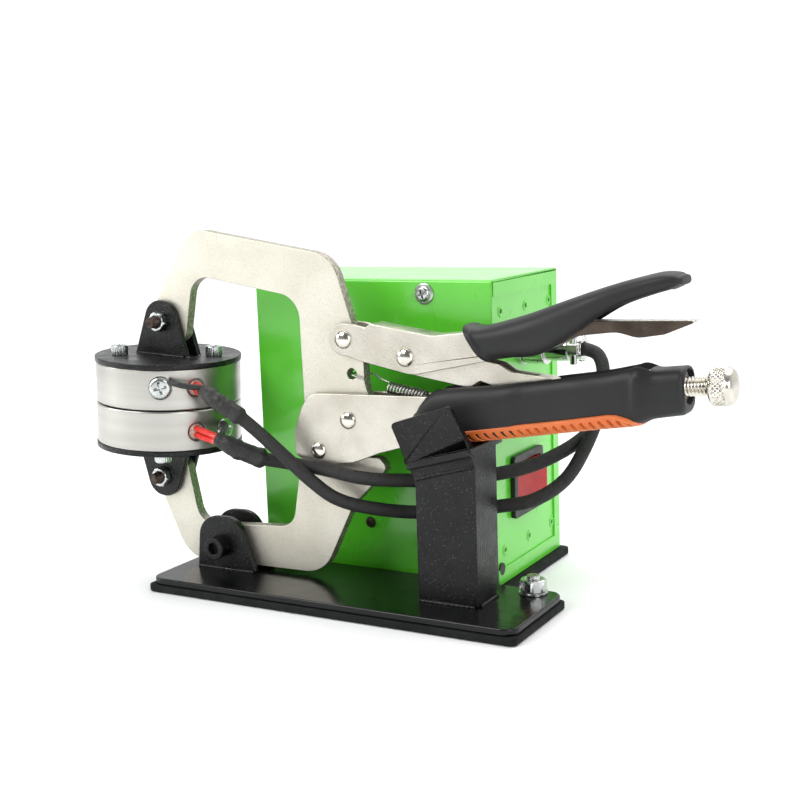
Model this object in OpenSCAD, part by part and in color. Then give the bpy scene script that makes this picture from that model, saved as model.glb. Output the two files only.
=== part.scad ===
// Locking clamp heat press: a locking C clamp carries two round heated platens,
// stands on a clevis and a cradle post, and is fed from a sheet-metal control box.
// Millimetres. +Z up, X along the clamp (platens at -X, handle at +X), operator side at -Y.
// The origin is on the ground, at the middle of the footprint.

/* [View] */
// Which sub-part to draw

/* [Base] */
// Length of the base along X
base_l = 175.5; // [150:220]
// Depth of the clamp strip along Y
strip_d = 51.5; // [45:60]
// Thickness of the rubber sheet, and of the steel strip on it
layer_t = 3; // [2:0.5:5]
// Corner radius of the steel strip
strip_r = 6; // [3:10]

/* [Control box] */
// Width of the box along X
box_w = 116; // [100:150]
// Depth of the box along Y
box_d = 69; // [60:100]
// Height of the box
box_h = 129.5; // [100:160]
// Sheet thickness of the box
sheet_t = 1.2; // [0.8:0.1:2]
// Width of the rocker switch bezel (panel cut-out is 3 mm less)
switch_w = 31; // [21:32]
// Height of the rocker switch bezel
switch_h = 27; // [15:28]
// Panel thread of the cable sockets
socket_d = 12; // [12, 16]

/* [Platens] */
// Platen diameter
platen_d = 64; // [50:80]
// Height of each aluminium platen
platen_h = 17.5; // [12:25]
// Diameter of the steel flange disc
flange_d = 64.8; // [50:82]
// Thickness of the flange disc
flange_t = 2.4; // [2:0.2:5]
// Gap between the closed platens
platen_gap = 0.5; // [0.3:0.1:2]
// Tilt of the platen stack in the closed clamp, degrees
platen_tilt = 2.9; // [0:0.1:6]
// Bore for the cartridge heaters
heater_d = 8; // [6, 6.5, 8]

/* [Clamp] */
// Thickness of the flat jaw plates
plate_t = 5; // [4:8]
// Outside width of the pressed handle channels
chan_w = 11; // [10:16]
// Sheet thickness of the pressed handle channels
chan_t = 1.6; // [1:0.1:2.5]
// Rivet shank diameter
rivet_d = 6; // [5:8]
// Radial running clearance at the rivets
run_fit = 0.05; // [0.02:0.01:0.1]
// Overall width of the moulded grips
grip_w = 19.4; // [16:26]
// Thread diameter of the adjusting screw
screw_d = 7.4; // [6:0.1:8]
// Knob diameter
knob_d = 14.6; // [12:20]

/* [Cables] */
// Diameter of the sleeved cables
cable_d = 5.6; // [4:0.2:8]
// Diameter of the heater wires
wire_d = 2.4; // [1.5:0.1:3]

/* [Hidden] */
$fn = 64;

cy = -30;                       // middle plane of the clamp
base_y0 = -62;                  // front edge of the base
box_x0 = -60.6;
box_y0 = -7.5;
box_x1 = box_x0 + box_w;
box_y1 = box_y0 + box_d;
box_z0 = layer_t;
box_z1 = box_z0 + box_h;
strip_z = 2 * layer_t;
// mechanism points, [x, z]
JAW = [2.2, 76.5];              // upper jaw on the fixed handle
LEV = [1.4, 110];               // lever on the upper jaw
LNK = [30, 103.7];              // toggle link on the lever
TIP = [90, 94];                 // far end of the toggle link
REL = [84, 110.2];              // release lever on the lever
FIX = [-12.9, 62.8];            // fixed rivet of the lower jaw
PIV = [-64.6, 16.5];            // clamp on the base clevis
STK = [-95.1, 80.1];            // middle of the platen gap
SCR = [152.5, 97];              // adjusting screw at the knob face
scr_tilt = 2.7;
bolt_h = 35.2;                  // clevis bolts from the middle of the gap
switch_y = 23.8;
switch_z = 42.4;
socket_y = 22;
socket_z = [102, 74];
stud_x = 75.5;
stud_y = -16;
conn_x = box_x1 + 28.5;         // rear end of the cable plugs
tray_d = 9.6;                   // depth that the end panels take at each end of the box
meter_z = [64, 102];            // middle heights of the two panel meters
spring_y = cy - 1.3;            // line of the return spring

// ---- helpers ----
// corner list [x, y, r] to an outline whose corners are rounded by arcs
function arc_pts(p, q, n, r) = r <= 0 ? [q] :
  let (a = (p - q) / norm(p - q), b = (n - q) / norm(n - q),
       h = acos(max(-1, min(1, a * b))) / 2,
       t = min(r / tan(h), 0.49 * norm(p - q), 0.49 * norm(n - q)), rr = t * tan(h),
       c = q + (a + b) / norm(a + b) * (rr / sin(h)),
       s = q + a * t - c, e = q + b * t - c,
       a0 = atan2(s[1], s[0]), d0 = atan2(e[1], e[0]) - a0,
       d = d0 > 180 ? d0 - 360 : (d0 < -180 ? d0 + 360 : d0), k = max(2, ceil(abs(d) / 11)))
  [for (i = [0:k]) c + rr * [cos(a0 + d * i / k), sin(a0 + d * i / k)]];
function rounded(c) = [for (i = [0:len(c) - 1]) let (m = len(c), p = c[(i + m - 1) % m], n = c[(i + 1) % m])
  each arc_pts([p[0], p[1]], [c[i][0], c[i][1]], [n[0], n[1]], c[i][2])];
module shape(c) { polygon(rounded(c)); }
// side-view outline made solid across Y
module slab(w, y = cy) { translate([0, y + w / 2, 0]) rotate([90, 0, 0]) linear_extrude(w) children(); }
// round bar across Y at [x, z] between two y values
module ybar(p, y0, y1, d) { translate([p[0], y1, p[1]]) rotate([90, 0, 0]) cylinder(h = y1 - y0, d = d); }
module ycone(p, y0, y1, d0, d1) {
  translate([p[0], y1, p[1]]) rotate([90, 0, 0]) cylinder(h = y1 - y0, d1 = d1, d2 = d0);
}
module yhex(p, y0, y1, af) { translate([p[0], y1, p[1]]) rotate([90, 0, 0]) rotate(15) cylinder(h = y1 - y0, d = af / cos(30), $fn = 6); }
module xbar(y, z, x0, x1, d) { translate([x0, y, z]) rotate([0, 90, 0]) cylinder(h = x1 - x0, d = d); }
module bar(a, b, w) { // slim box between two points along X or Z
  translate([min(a[0], b[0]), min(a[1], b[1]), min(a[2], b[2])]) cube(w);
}
module rbox(x, y, z, r) { linear_extrude(z) shape([[0, 0, r], [x, 0, r], [x, y, r], [0, y, r]]); }
// smooth curve through points, and a tube along it
function cr(p, i, t) = let (m = len(p), a = p[max(i - 1, 0)], b = p[i], c = p[min(i + 1, m - 1)],
  d = p[min(i + 2, m - 1)])
  0.5 * ((2 * b) + (c - a) * t + (2 * a - 5 * b + 4 * c - d) * t * t + (3 * b - a - 3 * c + d) * t * t * t);
function smooth(p, k) = concat([for (i = [0:len(p) - 2]) for (j = [0:k - 1]) cr(p, i, j / k)], [p[len(p) - 1]]);
function unit(v) = v / norm(v);
function tangents(p) = [for (i = [0:len(p) - 1]) unit(p[min(i + 1, len(p) - 1)] - p[max(i - 1, 0)])];
function frames(t, i = 0, acc = []) = i == len(t) ? acc :
  let (u = i == 0 ? unit(cross(t[0], [0.1, 0.2, 1])) : unit(acc[i - 1] - (acc[i - 1] * t[i]) * t[i]))
  frames(t, i + 1, concat(acc, [u]));
// tube along path p; r is one radius, or one radius for each path point
module tube(p, r, sides = 10) {
  t = tangents(p); u = frames(t); m = len(p);
  pts = [for (i = [0:m - 1]) let (v = cross(t[i], u[i]), rr = is_list(r) ? r[i] : r)
    for (j = [0:sides - 1]) p[i] + rr * (cos(360 * j / sides) * u[i] + sin(360 * j / sides) * v)];
  polyhedron(points = pts, faces = concat(
    [[for (j = [0:sides - 1]) j]], [[for (j = [sides - 1:-1:0]) (m - 1) * sides + j]],
    [for (i = [0:m - 2]) for (j = [0:sides - 1]) let (k = (j + 1) % sides)
      [i * sides + j, (i + 1) * sides + j, (i + 1) * sides + k, i * sides + k]]), convexity = 6);
}

// ---- base ----
module base_pad() color("#262626") difference() {
  linear_extrude(layer_t) shape([[-base_l / 2, base_y0, 3], [base_l / 2, base_y0, 3],
    [base_l / 2, base_y0 + strip_d, 3], [box_x1 + 4, base_y0 + strip_d, 0], [box_x1 + 4, box_y1 + 2.5, 3],
    [box_x0 - 2, box_y1 + 2.5, 3], [box_x0 - 2, base_y0 + strip_d, 0], [-base_l / 2, base_y0 + strip_d, 3]]);
  translate([stud_x, stud_y, -1]) cylinder(h = 5, d = 6.2);
}
module clamp_strip() color("#0e0e0e") difference() {
  translate([-base_l / 2 + 1, base_y0 + 1, layer_t]) rbox(base_l - 2, strip_d - 0.8, layer_t, strip_r);
  translate([stud_x, stud_y, 0]) cylinder(h = 9, d = 6.2);
}
module pivot_ear(y) slab(3, y) difference() {
  shape([[-78, strip_z, 0], [-46.8, strip_z, 0], [-54.5, 30, 10], [-75.6, 29.4, 10]]);
  translate(PIV) circle(d = 6.1);
}
module pivot_ear_front() color("#101010") pivot_ear(cy - 6.5);
module pivot_ear_rear() color("#101010") pivot_ear(cy + 6.5);
module pivot_bolt() color("#1c1c1c") difference() {
  union() { ybar(PIV, cy - 8.1, cy + 13, 6); ybar(PIV, cy - 14, cy - 8.1, 10); }
  yhex(PIV, cy - 15, cy - 11, 5);
}
module pivot_nut() color("#b8b8b4") difference() {
  yhex(PIV, cy + 8.1, cy + 13, 10);
  ybar(PIV, cy + 7, cy + 14, 6);
}
// bent cradle post: front wall, side flange, and the angled trough under the handle
module cradle_post() color("#111111") {
  x0 = 36.9; x1 = 63.5; yf = -43; s = 0.27; xt = 35.6; zt = 63.5; zw = 55.9;
  slab(3, yf + 1.5) polygon([[x0, strip_z], [x1, strip_z], [x1, zw + (x1 - x0) * s], [x0, zw]]);
  translate([x1 - 3, 0, 0]) rotate([90, 0, 90]) linear_extrude(3)
    shape([[yf, strip_z, 0], [yf + 16, strip_z, 1], [yf + 20, strip_z + 5, 3], [yf + 20, 70, 1], [yf, 70, 0]]);
  // trough floor
  translate([0, yf + 26, 0]) rotate([90, 0, 0]) linear_extrude(30.5)
    polygon([[xt, zt - 3], [x1, zt - 3 + (x1 - xt) * s], [x1, zt + (x1 - xt) * s], [xt, zt]]);
  // the front wall bends out to the front flap, which leans out further; the rear flap stands straight
  multmatrix([[1, 0, 0, 0], [0.1528, 1, -0.566, 26], [0, 0, 1, 0], [0, 0, 0, 1]])
    slab(3, yf + 1.5) polygon([[x0, zw - 0.6], [x1, zw - 0.6 + (x1 - x0) * s], [x1, zt + 0.3 + (x1 - xt) * s], [xt, zt + 0.3]]);
  multmatrix([[1, 0, 0, 0], [0.0804, 1, -0.3, 16.19], [0, 0, 1, 0], [0, 0, 0, 1]])
    slab(3, yf - 3) shape([[xt, zt, 0], [x1, zt + (x1 - xt) * s, 0], [58, 88.5, 2], [31.8, 79.9, 2]]);
  slab(3, yf + 26 + 1.5 - 3) shape([[xt, zt - 2, 0], [x1, zt - 2 + (x1 - xt) * s, 0], [60.5, 84.5, 2], [32.6, 76, 2]]);
}
module strip_stud() color("#c8c8c4") translate([stud_x, stud_y, 0.2]) cylinder(h = 13.4, d = 6);
module strip_nut() color("#c8c8c4") translate([stud_x, stud_y, strip_z]) difference() {
  union() { cylinder(h = 1.2, d = 12); translate([0, 0, 1.2]) rotate(12) cylinder(h = 4.9, d = 10 / cos(30), $fn = 6); }
  translate([0, 0, -1]) cylinder(h = 9, d = 6);
}

// ---- control box ----
module box_cover() color("#6fd13c") difference() {
  // folded sheet: front, top and back, with short return lips on the right and left ends
  translate([box_x0, 0, 0]) rotate([90, 0, 90]) linear_extrude(box_w) difference() {
    shape([[box_y0, box_z0, 0], [box_y1, box_z0, 0], [box_y1, box_z1, 1.6], [box_y0, box_z1, 1.6]]);
    translate([box_y0 + sheet_t, box_z0 - 1]) square([box_d - 2 * sheet_t, box_h + 1 - sheet_t]);
  }
  translate([box_x0 + 34, box_y1 - 3, 22]) cube([28, 6, 20]);
  ybar([24.7, 126.5], box_y0 - 2, box_y0 + 3, 3.1);
  ybar([-5.3, 25.6], box_y0 - 2, box_y0 + 3, 2.6);
}
module box_floor() color("#6fd13c") {
  translate([box_x0 + tray_d, box_y0 + sheet_t + 0.1, box_z0])
    cube([box_w - 2 * tray_d, box_d - 2 * sheet_t - 0.2, sheet_t]);
}
// end panel: a tray with its rim turned inwards, set back from the folded sheet
module end_panel() difference() {
  translate([0, box_y0 + sheet_t + 0.1, box_z0]) cube([9, box_d - 2 * sheet_t - 0.2, box_h - sheet_t - 0.2]);
  translate([-1, box_y0 + 2 * sheet_t + 0.1, box_z0 + 1 + sheet_t])
    cube([10 - sheet_t, box_d - 4 * sheet_t - 0.2, box_h - 3 * sheet_t - 1.2]);
}
rivet_yz = [[1.4, 118.8], [26.8, 118.8], [52.2, 118.8], [1.4, 17.2], [26.8, 17.2], [52.2, 17.2]];
module panel_right() color("#6fd13c") difference() {
  translate([box_x1 - 9.4, 0, 0]) end_panel();
  translate([box_x1 - 2.4, switch_y - switch_w / 2 + 1.5, switch_z - switch_h / 2 + 1.5])
    cube([6, switch_w - 3, switch_h - 3]);
  for (z = socket_z) xbar(socket_y, z, box_x1 - 4, box_x1 + 3, socket_d);
  for (p = rivet_yz) xbar(p[0], p[1], box_x1 - 4, box_x1 + 3, 3);
  xbar(-4.6 + 2, 10, box_x1 - 4, box_x1 + 3, 4);
}
module panel_left() color("#6fd13c") difference() {
  translate([box_x0 + 9.4, 0, 0]) mirror([1, 0, 0]) end_panel();
  for (z = meter_z) translate([box_x0 - 2, 26.9 - 22.5, z - 11.2]) cube([5, 45, 22.4]);
  for (p = rivet_yz) xbar(p[0], p[1], box_x0 - 2, box_x0 + 4, 3);
}
module panel_rivets() color("#66c336") {
  for (p = rivet_yz) {
    xbar(p[0], p[1], box_x1 - 2.8, box_x1 - 0.4, 3);
    xbar(p[0], p[1], box_x1 - 0.4, box_x1 + 0.3, 5);
    xbar(p[0], p[1], box_x0 + 0.4, box_x0 + 2.8, 3);
    xbar(p[0], p[1], box_x0 - 0.3, box_x0 + 0.4, 5);
  }
}
module cover_screw() color("#c9c9c6") difference() {
  union() {
    ybar([24.7, 126.5], box_y0 - 0.5, box_y0 + 5, 3.1);
    ybar([24.7, 126.5], box_y0 - 1.6, box_y0, 8.8);
    ycone([24.7, 126.5], box_y0 - 2.6, box_y0 - 1.6, 5.6, 8.8);
  }
  for (a = [0, 90]) translate([24.7, box_y0 - 2.2, 126.5]) rotate([0, a + 20, 0]) cube([4, 1.6, 0.9], center = true);
}
module cover_button() color("#303030") difference() {
  union() {
    ybar([-5.3, 25.6], box_y0 - 0.5, box_y0 + 4, 2.6);
    ycone([-5.3, 25.6], box_y0 - 1.7, box_y0, 3, 5.2);
  }
  yhex([-5.3, 25.6], box_y0 - 2.4, box_y0 - 0.9, 1.6);
}
module hole_plug() color("#202020") {
  xbar(-2.6, 10, box_x1 - 3, box_x1 - 0.4, 4);
  xbar(-2.6, 10, box_x1 - 0.4, box_x1 + 0.4, 5.4);
}
module switch_body() color("#151515") translate([box_x1 - 0.4, switch_y, switch_z]) difference() {
  union() {
    translate([0, -switch_w / 2, -switch_h / 2]) rotate([90, 0, 90]) rbox(switch_w, switch_h, 2.2, 2);
    translate([-24, -switch_w / 2 + 1.6, -switch_h / 2 + 1.6]) cube([24.2, switch_w - 3.2, switch_h - 3.2]);
  }
  translate([-9, -12.2, -10.2]) cube([12, 24.4, 20.4]);
}
module rocker() color("#d21f18") translate([box_x1 + 1.2, switch_y, switch_z]) rotate([90, 0, 90])
  translate([0, 0, -9]) difference() {
    translate([0, -9.9, 0]) rotate([-90, 0, 0]) linear_extrude(19.8)
      polygon([[-11.4, -5.5], [-11.7, -8.4], [0, -10.4], [9.4, -14], [10.5, -11.4], [11.3, -9], [11.7, -7], [5, -2.6], [-5, -2.6]]);
    xb = 3;
    translate([0, -11, 4.6]) rotate([-90, 0, 0]) cylinder(h = 22, d = xb);
  }
module cable_sockets() color("#c9c9c9") for (z = socket_z) difference() {
  union() {
    xbar(socket_y, z, box_x1 - 12, box_x1 + 5, socket_d);
    xbar(socket_y, z, box_x1 - 0.4, box_x1 + 2.2, 15.5);
    translate([box_x1 - 4.6, socket_y, z]) rotate([0, 90, 0]) cylinder(h = 3, d = 17, $fn = 6);
  }
  xbar(socket_y, z, box_x1 - 3, box_x1 + 6, 9);
}
module cable_plugs() color("#c4c4c4") for (z = socket_z) difference() {
  union() {
    xbar(socket_y, z, box_x1 + 2.6, box_x1 + 12, 15);
    xbar(socket_y, z, box_x1 + 12, conn_x - 6, 11.6);
    xbar(socket_y, z, conn_x - 6, conn_x, 10);
    translate([conn_x - 3, socket_y, z]) cube([4.4, 14.4, 4.4], center = true);
    for (s = [-1, 1]) translate([conn_x - 3, socket_y + s * 5, z - 6.4]) cylinder(h = 12.8, d = 3);
  }
  xbar(socket_y, z, box_x1 + 1, box_x1 + 9, socket_d + 0.6);
  xbar(socket_y, z, conn_x - 12, conn_x + 2, cable_d);
}
module mains_inlet() color("#151515") translate([box_x0 + 34, box_y1, 22]) difference() {
  union() {
    translate([-3, 0, -3]) cube([34, 2.4, 26]);
    translate([0.3, -14, 0.3]) cube([27.4, 15, 19.4]);
  }
  difference() {
    translate([2.6, -11, 2.4]) cube([22.8, 15, 15.2]);
    for (dx = [7, 14, 21]) translate([dx - 1, -12, dx == 14 ? 10 : 7]) cube([2, 10, 4]);
  }
}
// two panel meters on the far end panel, flat touch keys
module temp_controllers() color("#1b1b1b") for (z = meter_z) difference() {
  union() {
    translate([box_x0 - 2.6, 26.9 - 24, z - 13]) cube([3, 48, 26]);
    translate([box_x0 + 0.2, 26.9 - 22.3, z - 11]) cube([40, 44.6, 22]);
  }
  translate([box_x0 - 3.2, 26.9 - 20, z - 4]) cube([1.2, 40, 13]);
}
module relay_blocks() color("#e6e4dc") for (x = [-12, 14])
  translate([x, 2, box_z0 + sheet_t]) { cube([22, 44, 18]); translate([3, 4, 18]) cube([16, 36, 5]); }
module terminal_strip() color("#2a2a2a") translate([-14, 44, box_z0 + sheet_t + 46]) {
  difference() {
    cube([50, 16, 12]);
    for (i = [0:5]) translate([4.3 + 8.3 * i, 8, 4]) cylinder(h = 12, d = 5);
  }
  translate([22, 10, -46]) cube([5, 5.8, 47]);
}

// ---- fixed half of the clamp ----
jaw_clear = 11.6;
module lower_jaw() color("#cfcbc0") slab(plate_t) difference() {
  shape([[-106.5, 54.6, 8], [-85.6, 53.2, 5], [-79.7, 23.9, 9], [-29.3, 27.5, 8], [-23.8, 58, 6], [-22.6, 71, 5],
    [-11, 71, 2], [0, 60.5, 0], [14.6, 61, 3], [18.6, 56.9, 3], [1.2, 39.6, 20], [-14.6, 8.2, 15],
    [-87.3, 7.3, 15], [-101, 38, 8]]);
  translate(JAW) circle(d = 2 * jaw_clear);
  translate(FIX) circle(d = rivet_d);
  translate(PIV) circle(d = 6.1);
  translate(STK - bolt_h * [sin(platen_tilt), cos(platen_tilt)]) circle(d = 5.1);
}
chan_out = [[-24.4, 59.3, 3], [-6.5, 57.4, 8], [4, 58.6, 12], [16.5, 63.6, 12], [44, 71.5, 30], [90, 79.4, 40],
  [131, 85.4, 0], [131, 102.2, 2], [112, 98.4, 30], [72, 92, 30], [42, 88.3, 10], [-9, 87.2, 6],
  [-15.5, 86.6, 4], [-20.6, 81, 8], [-24.6, 70, 8]];
chan_in = [[-40, 61, 0], [-20, 61, 0], [-6.5, 59, 8], [3.6, 60.2, 12], [16, 65.2, 12], [44, 73.1, 30],
  [90, 81, 40], [140, 88.3, 0], [140, 130, 0], [-40, 130, 0]];
module handle_channel() color("#bdbab2") difference() {
  slab(chan_w) difference() {
    shape(chan_out);
    translate(JAW) circle(d = rivet_d);
    translate(FIX) circle(d = rivet_d);
  }
  slab(chan_w - 2 * chan_t) shape(chan_in);
  // the web is left open where the lower jaw comes out
  slab(chan_w - 2 * chan_t) polygon([[-30, 50], [15.4, 50], [15.4, 67], [-30, 67]]);
}
module rivet(p, w, d = rivet_d, head = 9.4) {
  ybar(p, cy - w / 2 - 0.2, cy + w / 2 + 0.2, d);
  for (s = [-1, 1]) ycone(p, cy + (s > 0 ? w / 2 : -w / 2 - 1.3), cy + (s > 0 ? w / 2 + 1.3 : -w / 2),
    s > 0 ? head : head * 0.6, s > 0 ? head * 0.6 : head);
}
module collars(p, d) { // washers that centre the plate inside a channel
  g = (chan_w - 2 * chan_t - plate_t) / 2;
  ybar(p, cy - plate_t / 2 - g, cy - plate_t / 2, d);
  ybar(p, cy + plate_t / 2, cy + plate_t / 2 + g, d);
}
module handle_rivet() color("#c6c3ba") { rivet(FIX, chan_w); collars(FIX, 9); }
module jaw_rivet() color("#c6c3ba") rivet(JAW, chan_w);
grip_out = [[41, 90, 3], [46, 92.4, 6], [72, 95.2, 30], [112.4, 101.3, 30], [132.6, 105.8, 1.5],
  [136.8, 103.5, 3], [149, 104.9, 3], [149, 87.1, 3], [138.5, 85.3, 5], [131, 82.6, 8], [97, 77.4, 40],
  [58.4, 71.2, 20], [38, 67.9, 4], [34.4, 79, 8]];
function inset(c, d) = [for (q = c) [q[0] + (q[0] > 140 ? -d : (q[0] < 42 ? d : 0)),
  q[1] + (q[1] > 79 + (q[0] - 34) * 0.155 ? -d : d), q[2]]];
module lower_grip() color("#3b3b3b") difference() {
  union() {
    slab(grip_w) shape(inset(grip_out, 3));
    slab(grip_w - 1.6) shape(inset(grip_out, 1.3));
    slab(grip_w - 5) shape(grip_out);
  }
  slab(chan_w + 0.2) polygon([[20, 64.2], [44, 71.2], [90, 79.2], [131.4, 85.3], [131.4, 130], [20, 130]]);
  translate([140, cy, 96.4]) rotate([0, 90 - scr_tilt, 0]) cylinder(h = 60, d = 13.2, center = true);
  grooves(0.2);
}
// soft insert along the lower front edge, with slanted ribs
module insert_shape(e = 0) shape([[54.6, 75.8 + e, 1.5], [72, 78.6 + e, 20], [97, 82.6 + e, 20], [113, 84.6 + e, 6],
  [121, 87.4 + e, 2], [130.4, 83.2, 1], [113.2, 79.9, 10], [97.2, 77.2 , 20], [58.4, 71.2, 4]]);
module grooves(e) slab(1.7 + e, cy - grip_w / 2 + 0.85) insert_shape(e);
module grip_insert() color("#e5823c") difference() {
  slab(1.7, cy - grip_w / 2 + 0.7) insert_shape();
  for (i = [0:15]) translate([58.6 + 4.05 * i, cy - grip_w / 2, 76 + 0.62 * i]) rotate([0, 24, 0])
    cube([0.9, 1.4, 14], center = true);
}
module screw_bush() color("#a9a6a0") translate([SCR[0], cy, SCR[1]]) rotate([0, 90 - scr_tilt, 0])
  translate([0, 0, -21.2]) difference() { cylinder(h = 16.4, d = 13); translate([0, 0, -1]) cylinder(h = 20, d = screw_d + 2 * run_fit); }
module screw_tip() color("#8e8c86") translate([SCR[0], cy, SCR[1]]) rotate([0, 90 - scr_tilt, 0])
  translate([0, 0, -55.6]) difference() { cylinder(h = 4.4, d = 6.6); translate([0, 0, 1.6]) cylinder(h = 4, d = 4 + 2 * run_fit); }
module adjust_screw() color("#b9b7b0") translate([SCR[0], cy, SCR[1]]) rotate([0, 90 - scr_tilt, 0]) {
  translate([0, 0, -51]) cylinder(h = 51.2, d = screw_d);
  translate([0, 0, -53.8]) cylinder(h = 3, d = 4);
  cylinder(h = 0.8, d1 = knob_d - 1.4, d2 = knob_d);
  difference() {
    translate([0, 0, 0.8]) cylinder(h = 7.2, d = knob_d);
    for (a = [0:12:348]) rotate(a) translate([knob_d / 2 + 0.35, 0, 0]) rotate(45) cube([0.9, 0.9, 30], center = true);
  }
  translate([0, 0, 7.6]) cylinder(h = 1.2, d = knob_d - 1);
  translate([0, 0, 8.8]) cylinder(h = 1, d1 = knob_d - 1, d2 = knob_d - 3.4);
}
spring_a = [19.8, spring_y, 90.6];
spring_b = [36.5, spring_y, 87.9];
module return_spring() color("#6a6a68") {
  n = 12; seg = 14; L = norm(spring_b - spring_a); k = unit(spring_b - spring_a);
  u = unit(cross(k, [0, 1, 0])); v = cross(k, u); ra = 2.05;
  coil = [for (i = [0:n * seg]) let (a = 360 * i / seg)
    spring_a + k * (L * i / (n * seg)) + ra * (cos(a) * u + sin(a) * v)];
  hook = [[9.4, cy - 3.5, 93.6], [4.6, cy - 3.5, 94.9], [3.4, cy - 2.6, 95.3], [3.1, cy, 95.5], [3.4, cy + 2.9, 95.6],
    [5, cy + 3.7, 95.7], [10.2, cy + 3.4, 95.1], [14, cy + 1.6, 94]];
  tube(concat(hook, coil, [[38.6, spring_y, 87.4], [41, spring_y, 86.8], [42.2, spring_y, 85.6],
    [41, spring_y, 84.2]]), 0.42, 6);
}

// ---- moving half of the clamp ----
module upper_jaw() color("#cfcbc0") slab(plate_t) difference() {
  union() {
    shape([[-103.6, 105.9, 8], [-82.4, 105.4, 6], [-76.3, 135.8, 9], [-21.6, 126.5, 11], [-20.9, 81, 5],
      [-5.5, 68.4, 0], [10.5, 70, 0], [13, 80, 4], [9, 92, 8], [8.9, 101, 3], [4.6, 114.2, 4], [-4.9, 144.1, 14],
      [-77, 156.2, 14], [-98.6, 121.4, 6]]);
    translate(JAW) circle(r = 11);
  }
  translate(JAW) circle(d = rivet_d + 2 * run_fit);
  translate(LEV) circle(d = rivet_d + 2 * run_fit);
  translate([3.1, 95.5]) circle(d = 4.6);
  translate(STK + bolt_h * [sin(platen_tilt), cos(platen_tilt)]) circle(d = 5.1);
}
lev_out = [[3.4, 103.1, 0], [10, 101.2, 3], [33, 96.6, 14], [66, 103.4, 14], [90, 110, 14], [110, 123, 14],
  [139, 132.6, 1], [138.4, 134.9, 1], [118, 131.6, 20], [95, 124.1, 20], [66, 115.4, 20], [42, 112.7, 14],
  [14.2, 116.8, 1], [12, 115.2, 1], [6, 116.4, 2], [1.4, 116.6, 0]];
lev_in = [[13, 90, 0], [12.4, 115, 0], [42, 111.1, 14], [66, 113.8, 20], [95, 122.5, 20], [118, 130, 20], [134, 132.4, 0],
  [150, 133, 0], [150, 90, 0]];
module lever() color("#c2bfb8") difference() {
  slab(chan_w) difference() {
    union() { shape(lev_out); translate(LEV) circle(r = 6.7); }
    translate(LEV) circle(d = rivet_d);
    translate(LNK) circle(d = rivet_d);
    translate(REL) circle(d = 3);
  }
  slab(chan_w - 2 * chan_t) union() { shape(lev_in); translate([-10, 90]) square([23.1, 40]); }
}
module lever_rivet() color("#c6c3ba") rivet(LEV, chan_w);
module link_rivet() color("#c6c3ba") rivet(LNK, chan_w, head = 10);
ugrip_out = [[56.2, 116.8, 2], [60.6, 111, 8], [67.4, 103, 6], [89, 107.2, 14], [106, 119, 12], [118, 126.2, 14],
  [144, 133.2, 2], [143.6, 136, 1.5], [138.9, 138.6, 3], [118, 134, 40], [82, 121.6, 40], [66, 116.9, 12]];
module upper_grip() color("#3b3b3b") difference() {
  union() {
    slab(grip_w - 1) shape([for (i = [0:len(ugrip_out) - 1]) let (q = ugrip_out[i])
      [q[0] + (i < 2 ? 2 : (i == 6 || i == 7 ? -2 : 0)), q[1] + (i < 1 || i > 7 ? -2.2 : 0.4), q[2]]]);
    slab(grip_w - 3) shape([for (i = [0:len(ugrip_out) - 1]) let (q = ugrip_out[i])
      [q[0] + (i < 2 ? 0.8 : (i == 6 || i == 7 ? -0.8 : 0)), q[1] + (i < 1 || i > 7 ? -0.8 : 0.1), q[2]]]);
    slab(grip_w - 6) shape(ugrip_out);
  }
  slab(chan_w + 0.2) polygon([[40, 60], [40, 112.8], [56, 114.3], [66, 115.5], [95, 124.2], [118, 131.7], [139.2, 135.1],
    [139.2, 60]]);
}
module toggle_link() color("#b4b1aa") difference() {
  slab(chan_w - 2 * chan_t - 0.6) difference() {
    shape([[23.4, 110, 5], [23.6, 98.4, 5], [36, 95.9, 4], [57.6, 92.3, 2], [62, 95.4, 2], [70, 93, 4], [84, 89.6, 4],
      [94.4, 89.5, 4], [94.4, 97.6, 4], [75.5, 99.4, 4], [70.5, 102.4, 2], [46, 106.4, 8], [36, 110, 4]]);
    translate(LNK) circle(d = rivet_d + 2 * run_fit);
  }
  slab(chan_w - 2 * chan_t - 3) polygon([[10, 80], [86, 80], [86, 120], [40, 120], [40, 103.8], [34, 107], [26, 107],
    [10, 107]]);
}
module release_lever() color("#c9c7c1") difference() {
  slab(chan_w - 2 * chan_t - 0.6) difference() {
    shape([[79, 114, 4], [79.4, 106.4, 4], [92, 109, 6], [103, 114.2, 10], [118, 116, 12], [126, 114, 10], [136, 115.6, 6],
      [146.6, 119.9, 0.6], [146.6, 120.9, 0.4], [107, 119.9, 10], [92, 117.4, 8]]);
    translate(REL) circle(d = 3 + 2 * run_fit);
  }
  slab(chan_w - 2 * chan_t - 3) polygon([[88, 100], [88, 114.6], [93, 115.9], [107, 118.5], [140, 119.3], [140, 100]]);
}
module release_pin() color("#b9b6ae") ybar(REL, cy - chan_w / 2, cy + chan_w / 2, 3);

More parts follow.
